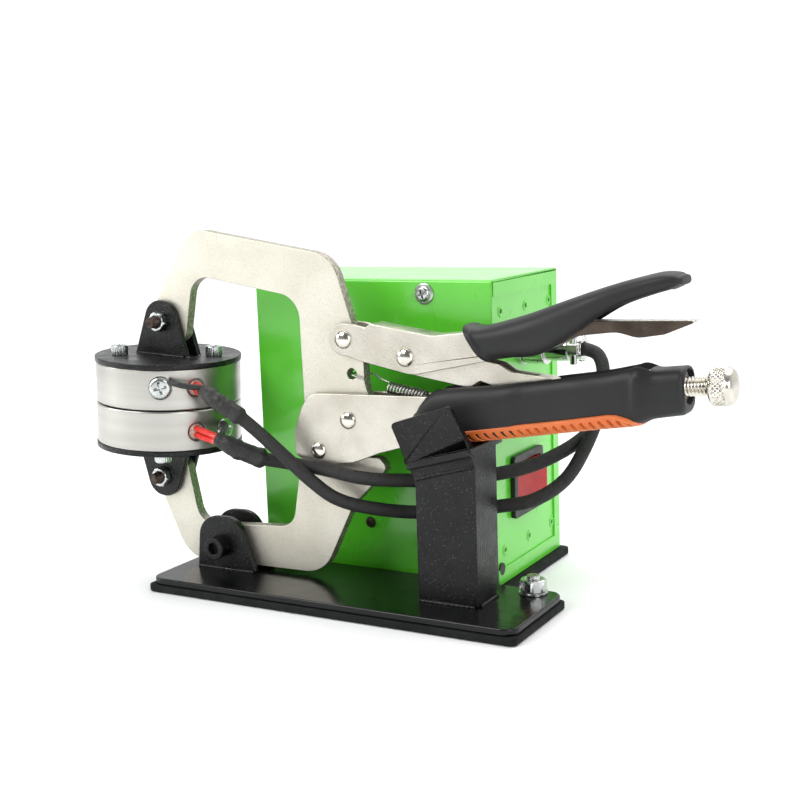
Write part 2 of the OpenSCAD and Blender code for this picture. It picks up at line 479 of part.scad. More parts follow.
// ---- platens, drawn about the stack axis ----
module stack() translate([STK[0], cy, STK[1]]) rotate([0, platen_tilt, 0]) children();
r_p = platen_d / 2;
screw_r = 21.4;
heater_a = -30; // direction of the heater bores
module ring_at(a, h, x0, x1, d) rotate([0, 0, a]) translate([x0, 0, h]) rotate([0, 90, 0]) cylinder(h = x1 - x0, d = d);
module platen(probe_a, screw_as) difference() {
  translate([0, 0, platen_gap / 2]) union() {
    cylinder(h = 0.4, d1 = platen_d - 0.8, d2 = platen_d);
    translate([0, 0, 0.4]) cylinder(h = platen_h - 0.4, d = platen_d);
  }
  ring_at(heater_a, 9.6, -18, r_p + 1, heater_d);
  ring_at(probe_a, 10.2, r_p - 9, r_p + 1, 3);
  ring_at(probe_a, 10.2, r_p - 0.9, r_p + 2, 9.8);
  for (a = screw_as) rotate(a) translate([screw_r, 0, 12]) cylinder(h = 20, d = 4.1);
}
module flange(screw_as) difference() {
  union() {
    translate([0, 0, platen_h + platen_gap / 2]) cylinder(h = flange_t, d = flange_d);
    for (y = [-3.95, 3.95]) translate([0, y + 1.2, platen_h + platen_gap / 2 + flange_t]) rotate([90, 0, 0]) linear_extrude(2.4)
      shape([[-14.6, -0.6, 0], [14.6, -0.6, 0], [6.6, bolt_h - 10.9, 8.4], [-6.6, bolt_h - 10.9, 8.4]]);
  }
  translate([0, 10, bolt_h]) rotate([90, 0, 0]) cylinder(h = 20, d = 5.1);
  for (a = screw_as) rotate(a) translate([screw_r, 0, 12]) cylinder(h = 20, d = 4.1);
}
// socket head screws through the flange
module flange_screws(screw_as) for (a = screw_as) rotate(a) translate([screw_r, 0, 0]) difference() {
  union() {
    translate([0, 0, 12.4]) cylinder(h = 9, d = 4.1);
    translate([0, 0, platen_h + platen_gap / 2 + flange_t]) cylinder(h = 4.4, d = 7.4);
  }
  translate([0, 0, platen_h + platen_gap / 2 + flange_t + 2]) cylinder(h = 4, d = 3.4, $fn = 6);
}
module clevis_bolt() translate([0, 0, bolt_h]) rotate([90, 0, 0]) {
  translate([0, 0, -7.2]) cylinder(h = 20, d = 5);
  translate([0, 0, -9.2]) cylinder(h = 4.05, d = 8.6);
}
module clevis_nut() translate([0, 0, bolt_h]) rotate([90, 0, 0]) difference() {
  translate([0, 0, 5.2]) rotate(20) cylinder(h = 3.6, d = 8 / cos(30), $fn = 6);
  translate([0, 0, 4]) cylinder(h = 8, d = 5);
}
module heater() {
  ring_at(heater_a, 9.6, -16, r_p - 0.5, heater_d);
}
module probe(a) {
  ring_at(a, 10.2, r_p - 8, r_p - 0.9, 3);
  ring_at(a, 10.2, r_p - 0.9, r_p + 1.4, 9.6);
}
module flip() rotate([180, 0, 0]) children();
up_s = [17, 223];
lo_s = [120, 300];
module upper_platen() color("#c5c5c2") stack() platen(-58, up_s);
module upper_flange() color("#121212") stack() flange(up_s);
module upper_screws() color("#cfd0cc") stack() flange_screws(up_s);
module upper_bolt() color("#8b8378") stack() clevis_bolt();
module upper_nut() color("#c8c8c4") stack() clevis_nut();
module upper_heater() color("#d9cdbf") stack() heater();
module upper_probe() color("#b7b5ae") stack() probe(-58);
// the lower half is the same part turned over; mirrored so that its bores face the operator
module lower() stack() mirror([0, 0, 1]) children();
module lower_platen() color("#c5c5c2") lower() platen(-3, lo_s);
module lower_flange() color("#121212") lower() flange(lo_s);
module lower_screws() color("#cfd0cc") lower() flange_screws(lo_s);
module lower_bolt() color("#8b8378") lower() clevis_bolt();
module lower_nut() color("#c8c8c4") lower() clevis_nut();
module lower_heater() color("#d9cdbf") lower() heater();
module lower_probe() color("#b7b5ae") lower() probe(-3);

// ---- leads: heater wires, shrink sleeve, then sleeved cable to the box ----
up_path = [[-66.6, -46.6, 89.4], [-61, -50, 88.4], [-55, -52, 86.4], [-49, -52, 83], [-42, -50, 78], [-34, -47.6, 71],
  [-22, -44.8, 60], [-12, -42.6, 51], [-2, -40.4, 44.2], [10, -35, 40.2], [25, -24, 37], [44, -17.6, 37.8], [60, -14, 40.4],
  [74, -10, 43.5], [86, -3, 51], [93, 4, 63], [97, 12, 78], [96.6, 18, 91], [91.5, 21.4, 99.4], [conn_x - 2, socket_y, socket_z[0]]];
lo_path = [[-67.8, -46.6, 70], [-62, -50, 69.2], [-56, -52, 68.6], [-50, -51.4, 66.8], [-43.6, -48, 63], [-36, -43.4, 59.2],
  [-26, -38.6, 57], [-7, -38.4, 55.4], [10, -37.8, 53.2], [26, -29.4, 51.8], [44, -19, 51.8], [60, -13, 54], [72, -6, 57],
  [82, 3, 62], [88.5, 12, 67.6], [89.5, 19, 72], [conn_x - 2, socket_y, socket_z[1]]];
module upper_lead() color("#1f1f1f") { p = smooth(up_path, 4); m = len(p);
  tube(p, [for (i = [0:m - 1]) i < 5 ? wire_d : (i < 8 ? 3.2 : (i < 21 ? 4 - abs(i - 14) * 0.1 : cable_d / 2 - 0.05))], 12); }
module lower_lead() color("#1f1f1f") { p = smooth(lo_path, 4); m = len(p);
  tube(p, [for (i = [0:m - 1]) i < 8 ? wire_d : (i < 10 ? 3.2 : (i < 22 ? 4.2 - abs(i - 14) * 0.12 : cable_d / 2 - 0.05))], 12); }

base_pad();
clamp_strip();
pivot_ear_front();
pivot_ear_rear();
pivot_bolt();
pivot_nut();
cradle_post();
strip_stud();
strip_nut();
box_cover();
box_floor();
panel_right();
panel_left();
panel_rivets();
cover_screw();
cover_button();
hole_plug();
switch_body();
rocker();
cable_sockets();
cable_plugs();
mains_inlet();
temp_controllers();
relay_blocks();
terminal_strip();
lower_jaw();
handle_channel();
handle_rivet();
jaw_rivet();
lower_grip();
grip_insert();
screw_bush();
screw_tip();
adjust_screw();
return_spring();
upper_jaw();
lever();
lever_rivet();
link_rivet();
upper_grip();
toggle_link();
release_lever();
release_pin();
upper_platen();
upper_flange();
upper_screws();
upper_bolt();
upper_nut();
upper_heater();
upper_probe();
lower_platen();
lower_flange();
lower_screws();
lower_bolt();
lower_nut();
lower_heater();
lower_probe();
upper_lead();
lower_lead();
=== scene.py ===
"""Visual model of a bench heat press built on a locking clamp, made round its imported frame.

Sizes in the classes are millimetres, and the mesh helpers turn them into metres.
"""
import logging
import math
from dataclasses import dataclass, field
from enum import Enum
from typing import Callable, Sequence

import bmesh
import bpy
import numpy as np
from mathutils import Matrix, Vector, noise


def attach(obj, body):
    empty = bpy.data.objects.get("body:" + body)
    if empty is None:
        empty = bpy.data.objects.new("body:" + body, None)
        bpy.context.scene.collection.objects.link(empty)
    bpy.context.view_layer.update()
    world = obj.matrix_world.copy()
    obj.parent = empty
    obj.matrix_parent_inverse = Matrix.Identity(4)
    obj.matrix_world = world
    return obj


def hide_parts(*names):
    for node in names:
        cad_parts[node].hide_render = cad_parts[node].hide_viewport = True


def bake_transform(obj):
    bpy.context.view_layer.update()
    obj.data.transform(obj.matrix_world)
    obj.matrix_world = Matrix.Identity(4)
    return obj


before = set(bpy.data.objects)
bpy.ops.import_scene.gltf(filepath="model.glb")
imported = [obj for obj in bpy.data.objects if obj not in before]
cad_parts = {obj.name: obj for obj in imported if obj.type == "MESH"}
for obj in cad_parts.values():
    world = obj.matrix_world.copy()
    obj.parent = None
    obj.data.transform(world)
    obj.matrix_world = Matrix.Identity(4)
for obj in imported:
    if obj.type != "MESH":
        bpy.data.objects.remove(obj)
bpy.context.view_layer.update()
LOG = logging.getLogger("heat_press")
MM = 0.001
CY = -30.0              # middle plane of the clamp
STACK_TILT = 2.9        # tilt of the platen stack, degrees
STACK = (-95.1, 80.1)   # middle of the platen gap, x and z
SCREW = (152.5, 97.0)   # adjusting screw at the knob face, x and z
SCREW_TILT = 2.7        # rise of the adjusting screw, degrees
Pair = tuple[float, float]
Triple = tuple[float, float, float]
Radius = float | Callable[[float], float]
Shape = tuple[np.ndarray, list]     # points in millimetres, and faces
Tree = bpy.types.NodeTree
Socket = bpy.types.NodeSocket


# ---- colour and nodes ----

def linear(code: str) -> tuple[float, float, float, float]:
    """Turns an sRGB hex colour into linear red, green, blue and alpha.

    Args:
        code: Six hex digits after a hash.
    Returns:
        Four numbers from 0 to 1.
    """
    parts = [int(code[i:i + 2], 16) / 255 for i in (1, 3, 5)]
    return (*[c / 12.92 if c <= 0.04045 else ((c + 0.055) / 1.055) ** 2.4 for c in parts], 1.0)


def add(tree: Tree, kind: str, links: dict | None = None, **settings: object) -> bpy.types.Node:
    """Adds one node with its settings and its input links.

    Args:
        tree: Node tree to add to.
        kind: Blender's name for the node type.
        links: Input name or number to an output socket or a plain value.
        **settings: Attributes of the node.
    Returns:
        The new node.
    """
    node = tree.nodes.new(kind)
    for key, value in settings.items():
        setattr(node, key, value)
    for key, value in (links or {}).items():
        if isinstance(value, Socket):
            tree.links.new(value, node.inputs[key])
        else:
            node.inputs[key].default_value = value
    return node


@dataclass(frozen=True)
class Finish:
    """A surface finish: patchy colour, wandering roughness, fine grain, and an edge colour that is wear on most
    finishes and a painted edge highlight on the rubber.
    """

    name: str
    colour: str
    second: str
    metallic: float = 0.0
    roughness: float = 0.5
    spread: float = 0.07
    patch_mm: float = 14.0
    grain_mm: float = 0.5
    grain_depth_mm: float = 0.012
    worn_and_lit: str = ""
    wear_and_highlight: float = 0.0
    coat: float = 0.0
    coat_roughness: float = 0.08
    ior: float = 1.5
    sheen: float = 0.0

    def place(self, tree: Tree) -> Socket:
        """Returns the coordinates that the patterns lie on."""
        return add(tree, "ShaderNodeTexCoord").outputs["Object"]

    def mottle(self, tree: Tree, place: Socket, size_mm: float, detail: float = 3.0,
               low: float = 0.35, high: float = 0.65) -> Socket:
        """Returns a soft noise of the given size, stretched to run from 0 to 1.

        Args:
            tree: Node tree to add to.
            place: Coordinates in metres.
            size_mm: Width of one patch.
            detail: Octaves of finer noise.
            low: Noise value that becomes 0.
            high: Noise value that becomes 1.
        Returns:
            The value socket.
        """
        spots = add(tree, "ShaderNodeTexNoise", {"Vector": place, "Scale": 1 / (size_mm * MM), "Detail": detail})
        return add(tree, "ShaderNodeMapRange", {0: spots.outputs[0], 1: low, 2: high}).outputs[0]

    def blend(self, tree: Tree, share: object, first: object, second: object) -> Socket:
        """Returns a mix of two colours by a share from 0 to 1."""
        colours = [linear(c) if isinstance(c, str) else c for c in (first, second)]
        mix = add(tree, "ShaderNodeMix", {0: share, 6: colours[0], 7: colours[1]}, data_type="RGBA")
        return mix.outputs[2]

    def times(self, tree: Tree, first: object, second: object, how: str = "MULTIPLY") -> Socket:
        """Returns one value combined with another."""
        return add(tree, "ShaderNodeMath", {0: first, 1: second}, operation=how).outputs[0]

    def tint(self, tree: Tree, place: Socket) -> Socket:
        """Returns the colour of the finish before any wear."""
        return self.blend(tree, self.mottle(tree, place, self.patch_mm), self.colour, self.second)

    def relief(self, tree: Tree, place: Socket) -> Socket:
        """Returns the height of the grain, from 0 to 1."""
        return self.mottle(tree, place, self.grain_mm, 2.0, 0.3, 0.7)

    def make(self) -> bpy.types.Material:
        """Builds the material, or finds it if it is there already."""
        ready = bpy.data.materials.get(self.name)
        if ready:
            return ready
        material = bpy.data.materials.new(self.name)
        material.use_nodes = True
        tree = material.node_tree
        shader = tree.nodes["Principled BSDF"]
        place = self.place(tree)
        colour = self.tint(tree, place)
        # Edge colour on the rounded edges: real wear on most finishes, a painted edge highlight on the rubber.
        if self.worn_and_lit:
            edge = add(tree, "ShaderNodeAttribute", attribute_name="edge").outputs["Fac"]
            rubbed_and_lit = self.times(tree, edge, self.mottle(tree, place, 2.2, 4.0, 0.4, 0.6))
            colour = self.blend(tree, self.times(tree, rubbed_and_lit, self.wear_and_highlight), colour, self.worn_and_lit)
        tree.links.new(colour, shader.inputs["Base Color"])
        rough = add(tree, "ShaderNodeMapRange", {0: self.mottle(tree, place, self.patch_mm * 0.6, 5.0),
                                                 3: self.roughness - self.spread, 4: self.roughness + self.spread})
        tree.links.new(rough.outputs[0], shader.inputs["Roughness"])
        bump = add(tree, "ShaderNodeBump", {"Strength": 1.0, "Distance": self.grain_depth_mm * MM,
                                            "Height": self.relief(tree, place)})
        tree.links.new(bump.outputs[0], shader.inputs["Normal"])
        shader.inputs["Metallic"].default_value = self.metallic
        shader.inputs["Coat Weight"].default_value = self.coat
        shader.inputs["Coat Roughness"].default_value = self.coat_roughness
        shader.inputs["Sheen Weight"].default_value = self.sheen
        if not self.metallic:
            shader.inputs["IOR"].default_value = self.ior
        return material


@dataclass(frozen=True)
class PlatedSheet(Finish):
    """Plated sheet steel whose cut edges, which face along the plate, are darker and rougher."""

    cut: str = "#6F695C"
    cut_share: float = 0.8
    speckle: float = 0.35

    def tint(self, tree: Tree, place: Socket) -> Socket:
        """Returns the plate colour with fine speckle, and the cut colour on the edges."""
        face = self.blend(tree, self.mottle(tree, place, self.patch_mm), self.colour, self.second)
        specks = self.times(tree, self.mottle(tree, place, 0.45, 1.0, 0.55, 0.75), self.speckle)
        face = self.blend(tree, specks, face, self.cut)
        normal = add(tree, "ShaderNodeNewGeometry").outputs["True Normal"]
        across = add(tree, "ShaderNodeSeparateXYZ", {0: normal}).outputs["Y"]
        side = self.times(tree, across, 0.0, "ABSOLUTE")
        cut = add(tree, "ShaderNodeMapRange", {0: side, 1: 0.75, 2: 0.35, 3: 0.0, 4: self.cut_share}).outputs[0]
        streaks = self.times(tree, cut, self.mottle(tree, place, 1.3, 4.0, 0.2, 0.6))
        return self.blend(tree, streaks, face, self.cut)


@dataclass(frozen=True)
class PowderCoat(Finish):
    """Textured powder coat: pimpled, with tiny bright glints, painted highlights, where the flakes lie flat."""

    glint: str = "#B9BCC0"
    glint_mm: float = 0.55
    glint_share: float = 0.7

    def tint(self, tree: Tree, place: Socket) -> Socket:
        """Returns the coat colour with scattered glints painted in as highlights."""
        coat = self.blend(tree, self.mottle(tree, place, self.patch_mm), self.colour, self.second)
        # Painted highlights: a few cells of a fine voronoi grid become bright glint spots in the base colour.
        cells = add(tree, "ShaderNodeTexVoronoi", {"Vector": place, "Scale": 1 / (self.glint_mm * MM)})
        chosen = add(tree, "ShaderNodeSeparateColor", {0: cells.outputs["Color"]}).outputs[0]
        picked = add(tree, "ShaderNodeMapRange", {0: chosen, 1: 0.90, 2: 0.96}).outputs[0]
        spot = add(tree, "ShaderNodeMapRange", {0: cells.outputs["Distance"], 1: 0.34, 2: 0.16}).outputs[0]
        share = self.times(tree, self.times(tree, picked, spot), self.glint_share)
        return self.blend(tree, share, coat, self.glint)


@dataclass(frozen=True)
class TurnedMetal(Finish):
    """Metal faced on a lathe: fine rings across the stack axis."""

    ring_mm: float = 0.35

    def place(self, tree: Tree) -> Socket:
        """Returns coordinates squashed so that noise becomes rings along the stack axis."""
        spot = add(tree, "ShaderNodeTexCoord").outputs["Object"]
        turn = add(tree, "ShaderNodeMapping", {"Vector": spot, "Rotation": (0, -math.radians(STACK_TILT), 0)})
        return add(tree, "ShaderNodeMapping", {"Vector": turn.outputs[0], "Scale": (0.035, 0.035, 1.0)}).outputs[0]

    def relief(self, tree: Tree, place: Socket) -> Socket:
        """Returns the height of the tool marks."""
        return self.mottle(tree, place, self.ring_mm, 4.0, 0.25, 0.75)


@dataclass(frozen=True)
class Braid(Finish):
    """Woven sleeve: crossing strands that follow the cord's own length and girth."""

    strand_mm: float = 0.9
    girth_mm: float = 17.6

    def place(self, tree: Tree) -> Socket:
        """Returns the cord's own map, in metres round and along it."""
        return add(tree, "ShaderNodeUVMap", uv_map="UVMap").outputs[0]

    def strands(self, tree: Tree, place: Socket) -> Socket:
        """Returns 1 on the crown of a strand and 0 between strands."""
        parts = add(tree, "ShaderNodeSeparateXYZ", {0: place})
        count = 2 * math.pi * round(self.girth_mm / self.strand_mm / 1.4) / (self.girth_mm * MM)
        waves = []
        for way in ("ADD", "SUBTRACT"):
            run = self.times(tree, parts.outputs["X"], parts.outputs["Y"], way)
            waves.append(self.times(tree, self.times(tree, run, count), 0.0, "SINE"))
        cross = self.times(tree, waves[0], waves[1])
        return add(tree, "ShaderNodeMapRange", {0: cross, 1: -0.8, 2: 0.8}).outputs[0]

    def tint(self, tree: Tree, place: Socket) -> Socket:
        """Returns the strand colour, with painted shade between strands."""
        # The second colour, in the gaps between strand crowns, is painted shade.
        return self.blend(tree, self.strands(tree, place), self.second, self.colour)

    def relief(self, tree: Tree, place: Socket) -> Socket:
        """Returns the height of the weave."""
        return self.strands(tree, place)


class Look(Enum):
    """Every finish on the press. Each is named for what it is and how it was made."""

    # Lime powder coat on sheet steel: glossy, with faint orange peel about 1.5 mm across, and faint painted glints.
    LIME_COAT = PowderCoat("lime_gloss_powder_coat", "#59C92B", "#60D033", roughness=0.3, spread=0.05, patch_mm=45,
                           grain_mm=1.5, grain_depth_mm=0.005, worn_and_lit="#8BE062", wear_and_highlight=0.5, coat=0.6,
                           coat_roughness=0.12, glint="#7FDB55", glint_share=0.15)
    # Bright satin nickel over sheared plate: creamy white, fine pitting, brown-grey cut edges.
    NICKEL_PLATE = PlatedSheet("satin_nickel_cut_plate", "#D7D4C8", "#CBC7B9", metallic=0.8, roughness=0.5,
                               patch_mm=26, grain_mm=0.5, grain_depth_mm=0.02, worn_and_lit="#8C8474", wear_and_highlight=0.35)
    # The same plating over drawn sheet: greyer and more grainy, with dark soot in the hollows.
    PRESSED_NICKEL = PlatedSheet("satin_nickel_pressed_sheet", "#D3CFC5", "#BBB6AA", metallic=0.95, roughness=0.38,
                                 spread=0.1, patch_mm=20, grain_mm=0.7, grain_depth_mm=0.05, worn_and_lit="#F3F0E8",
                                 wear_and_highlight=0.5, cut="#8E887C", cut_share=0.55)
    # Browned strip steel of the release lever, its rim rubbed bright.
    RELEASE_STRIP = PlatedSheet("browned_strip_steel", "#5A5048", "#3A322C", metallic=0.9, roughness=0.36, spread=0.1,
                                patch_mm=14, grain_mm=0.7, grain_depth_mm=0.03, worn_and_lit="#D8D4CA", wear_and_highlight=0.5,
                                cut="#E8E6E0", cut_share=1.0, speckle=0.0)
    # Polished nickel on rivets, thread and knob.
    BRIGHT_NICKEL = Finish("polished_nickel", "#D9D5CC", "#C8C3B8", metallic=1.0, roughness=0.17, spread=0.06,
                           patch_mm=3, grain_mm=0.4, grain_depth_mm=0.004, worn_and_lit="#FFFDF6", wear_and_highlight=0.4)
    # Black powder coat on the cradle and clevises: pimples near 0.7 mm and small painted glints.
    BLACK_POWDER = PowderCoat("black_textured_powder_coat", "#0B0B0C", "#121213", roughness=0.32, spread=0.08,
                              patch_mm=10, grain_mm=0.75, grain_depth_mm=0.07, worn_and_lit="#6A6B6D", wear_and_highlight=0.6, ior=1.36,
                              glint_mm=0.42, glint_share=0.5)
    # Brushed-on gloss black enamel on the base strip.
    GLOSS_BLACK = Finish("gloss_black_enamel", "#0B0C0C", "#111212", roughness=0.2, spread=0.06, patch_mm=18,
                         grain_mm=2.4, grain_depth_mm=0.03, worn_and_lit="#5A5B5C", wear_and_highlight=0.6, ior=1.38)
    # Moulded rubber sheet: dull and dusty; its lighter edge colour is a painted edge highlight.
    RUBBER = Finish("black_rubber_sheet", "#151616", "#1D1E1F", roughness=0.8, spread=0.1, patch_mm=9, grain_mm=0.6,
                    grain_depth_mm=0.06, worn_and_lit="#434445", wear_and_highlight=0.6, ior=1.3)
    # Aluminium turned on a lathe: fine rings that draw highlights into upright streaks.
    ALUMINIUM = TurnedMetal("turned_aluminium", "#B9B7B2", "#ABA9A3", metallic=1.0, roughness=0.31, spread=0.03,
                            patch_mm=6, grain_depth_mm=0.004, ring_mm=0.16, worn_and_lit="#FFFFFF", wear_and_highlight=0.5)
    # Bright zinc on screws and nuts.
    ZINC = Finish("bright_zinc_plate", "#C9CCCB", "#B5B9B9", metallic=1.0, roughness=0.27, spread=0.09, patch_mm=2.5,
                  grain_mm=0.35, grain_depth_mm=0.01, worn_and_lit="#F5F7F6", wear_and_highlight=0.6)
    # Oiled black-oxide bolt with brown rust bloom.
    BLACK_OXIDE = Finish("rusted_black_oxide", "#2B2725", "#5A4A40", metallic=0.7, roughness=0.5, spread=0.12,
                         patch_mm=2.2, grain_mm=0.4, grain_depth_mm=0.03, worn_and_lit="#8A7A6C", wear_and_highlight=0.5)
    # Dark soft-touch moulding on the grips: fine spark-erosion grain.
    GRIP = Finish("soft_grip_moulding", "#161617", "#1B1B1C", roughness=0.5, spread=0.06, patch_mm=30, grain_mm=0.35,
                  grain_depth_mm=0.012, worn_and_lit="#4B4C4D", wear_and_highlight=0.4, ior=1.42)
    # Soft orange insert moulded into the grip, darker in its slots.
    ORANGE = Finish("orange_soft_insert", "#C8622A", "#CE6C33", roughness=0.46, spread=0.08, patch_mm=8, grain_mm=0.4,
                    grain_depth_mm=0.012, worn_and_lit="#8A4216", wear_and_highlight=1.0)
    # Moulded black nylon on switch, inlet and plug.
    BLACK_PLASTIC = Finish("black_nylon_moulding", "#0F1011", "#151617", roughness=0.42, spread=0.08, patch_mm=12,
                           grain_mm=0.3, grain_depth_mm=0.008, worn_and_lit="#3A3B3E", wear_and_highlight=0.4)
    # Clear red acrylic rocker, glossy.
    ROCKER_RED = Finish("red_acrylic", "#9E0A0D", "#B51217", roughness=0.2, spread=0.04, patch_mm=9, grain_mm=2.0,
                        grain_depth_mm=0.006, worn_and_lit="#E8605C", wear_and_highlight=0.8)
    # Chromed brass connectors.
    CHROME = Finish("chromed_brass", "#D6D6D3", "#C6C7C5", metallic=1.0, roughness=0.1, spread=0.04, patch_mm=5,
                    grain_mm=0.8, grain_depth_mm=0.004, worn_and_lit="#F8F8F5", wear_and_highlight=0.3)
    # Oiled hard-drawn spring wire.
    SPRING_WIRE = Finish("oiled_spring_wire", "#B5B4B1", "#96958F", metallic=1.0, roughness=0.3, patch_mm=2,
                         grain_mm=0.3, grain_depth_mm=0.006)
    # Pinkish magnesia potting at the heater ends.
    CERAMIC = Finish("magnesia_potting", "#D9C6BC", "#B79C8E", roughness=0.85, patch_mm=0.9, grain_mm=0.3,
                     grain_depth_mm=0.05)
    # Thin stainless heater case, seen end on.
    HEATER_CASE = Finish("stainless_heater_case", "#8C8A86", "#5E5B57", metallic=1.0, roughness=0.35, patch_mm=1.2,
                         grain_mm=0.3, grain_depth_mm=0.01)
    # Red silicone wire: waxy and slightly shiny.
    RED_WIRE = Finish("red_silicone_wire", "#D2231E", "#DE332C", roughness=0.34, patch_mm=4, grain_mm=0.5,
                      grain_depth_mm=0.01, coat=0.2)
    # Black heat-shrink sleeve: soft sheen, wrinkled where it was gathered.
    SHRINK = Finish("black_heat_shrink", "#1B1A1A", "#262524", roughness=0.55, spread=0.1, patch_mm=5, grain_mm=2.4,
                    grain_depth_mm=0.25)
    # Braided polyester sleeve over the cable; its darker second colour is painted shade between the strands.
    BRAID = Braid("black_braided_sleeve", "#1D1C1C", "#0B0B0B", roughness=0.6, patch_mm=4, grain_depth_mm=0.14)
    # White relay housings and grey terminal metal inside the box.
    RELAY_WHITE = Finish("white_relay_moulding", "#E4E1D8", "#D9D6CC", roughness=0.45, patch_mm=10)
    # Smoked window of a panel meter.
    SMOKED = Finish("smoked_acrylic", "#160808", "#1C0C0B", roughness=0.12, spread=0.03, patch_mm=12, grain_mm=2,
                    grain_depth_mm=0.003, coat=0.5)


# ---- mesh helpers ----

def rounded(corners: Sequence[Triple], step: float = 9.0) -> list[Pair]:
    """Turns corners with radii into an outline whose corners are arcs.

    Args:
        corners: Corner x, corner z and arc radius, in order.
        step: Largest turn between two arc points, degrees.
    Returns:
        The outline's points.
    """
    out: list[Pair] = []
    for i, (x, z, r) in enumerate(corners):
        q = np.array((x, z))
        if r <= 0:
            out.append((x, z))
            continue
        p = np.array(corners[i - 1][:2])
        n = np.array(corners[(i + 1) % len(corners)][:2])
        a = (p - q) / np.linalg.norm(p - q)
        b = (n - q) / np.linalg.norm(n - q)
        half = math.acos(max(-1.0, min(1.0, float(a @ b)))) / 2
        back = min(r / math.tan(half), 0.49 * np.linalg.norm(p - q), 0.49 * np.linalg.norm(n - q))
        centre = q + (a + b) / np.linalg.norm(a + b) * (back * math.tan(half) / math.sin(half))
        s, e = q + a * back - centre, q + b * back - centre
        start = math.atan2(s[1], s[0])
        turn = (math.atan2(e[1], e[0]) - start + math.pi) % (2 * math.pi) - math.pi
        count = max(2, math.ceil(abs(math.degrees(turn)) / step))
        size = np.linalg.norm(s)
        for k in range(count + 1):
            angle = start + turn * k / count
            out.append((centre[0] + size * math.cos(angle), centre[1] + size * math.sin(angle)))
    return out


def smooth_rows(rows: Sequence[Sequence[float]], steps: int) -> np.ndarray:
    """Draws a smooth curve through rows of numbers.

    Args:
        rows: Points of any dimension.
        steps: Pieces between two rows.
    Returns:
        The finer rows.
    """
    p = np.array(rows, float)
    out = []
    for i in range(len(p) - 1):
        a, b, c, d = p[max(i - 1, 0)], p[i], p[i + 1], p[min(i + 2, len(p) - 1)]
        for k in range(steps):
            t = k / steps
            out.append(0.5 * (2 * b + (c - a) * t + (2 * a - 5 * b + 4 * c - d) * t * t
                              + (3 * b - a - 3 * c + d) * t ** 3))
    out.append(p[-1])
    return np.array(out)


def ring_faces(rows: int, cols: int, first: int = 0) -> list[tuple[int, ...]]:
    """Returns the quads between closed rings, and a face over each end."""
    faces: list[tuple[int, ...]] = []
    for r in range(rows - 1):
        for c in range(cols):
            d = (c + 1) % cols
            a = first + r * cols
            faces.append((a + c, a + d, a + cols + d, a + cols + c))
    faces.append(tuple(first + c for c in reversed(range(cols))))
    faces.append(tuple(first + (rows - 1) * cols + c for c in range(cols)))
    return faces


def piece(name: str, points: np.ndarray, faces: list, look: Look, crease: float = 35.0) -> bpy.types.Object:
    """Makes a mesh object with outward faces and smooth shading up to a crease angle.

    Args:
        name: Name of the object.
        points: Corners in millimetres.
        faces: Corner numbers of each face.
        look: The finish.
        crease: Angle above which an edge stays sharp, degrees.
    Returns:
        The object, at the origin.
    """
    mesh = bpy.data.meshes.new(name)
    mesh.from_pydata((np.asarray(points) * MM).tolist(), [], faces)
    bm = bmesh.new()
    bm.from_mesh(mesh)
    bmesh.ops.remove_doubles(bm, verts=bm.verts, dist=1e-6)
    bmesh.ops.recalc_face_normals(bm, faces=bm.faces)
    bm.to_mesh(mesh)
    bm.free()
    mesh.shade_smooth()
    mesh.set_sharp_from_angle(angle=math.radians(crease))
    mesh.materials.append(look.value.make())
    made = bpy.data.objects.new(name, mesh)
    bpy.context.scene.collection.objects.link(made)
    return made


def turned(profile: Sequence[tuple[Radius, float]], steps: int = 48) -> Shape:
    """Spins a profile about +Z. A radius may depend on the angle, which gives hexagons, slots and knurls.

    Args:
        profile: Radius, or a function of the angle, and height, from one end to the other.
        steps: Points round the axis.
    Returns:
        Points in millimetres, and faces.
    """
    points = []
    for radius, height in profile:
        for k in range(steps):
            a = 2 * math.pi * k / steps
            r = radius(a) if callable(radius) else radius
            points.append((r * math.cos(a), r * math.sin(a), height))
    return np.array(points), ring_faces(len(profile), steps)


def aim(points: np.ndarray, origin: Sequence[float], axis: Sequence[float], spin: float = 0.0) -> np.ndarray:
    """Moves points drawn about +Z so that they stand at origin along axis.

    Args:
        points: Points in millimetres.
        origin: New place of the local origin, millimetres.
        axis: Direction that +Z takes.
        spin: Turn about the axis, degrees.
    Returns:
        The moved points.
    """
    turn = Vector(axis).to_track_quat("Z", "Y").to_matrix() @ Matrix.Rotation(math.radians(spin), 3, "Z")
    return np.asarray(points) @ np.array(turn).T + np.array(origin, float)


def put(shape: Shape, origin: Sequence[float], axis: Sequence[float],
        spin: float = 0.0) -> Shape:
    """Returns a shape moved by aim, with its faces."""
    return aim(shape[0], origin, axis, spin), shape[1]


def join(parts: Sequence[Shape]) -> Shape:
    """Puts several closed shapes into one list of points and faces."""
    points, faces, first = [], [], 0
    for p, f in parts:
        points.append(np.asarray(p))
        faces += [tuple(i + first for i in face) for face in f]
        first += len(p)
    return np.concatenate(points), faces


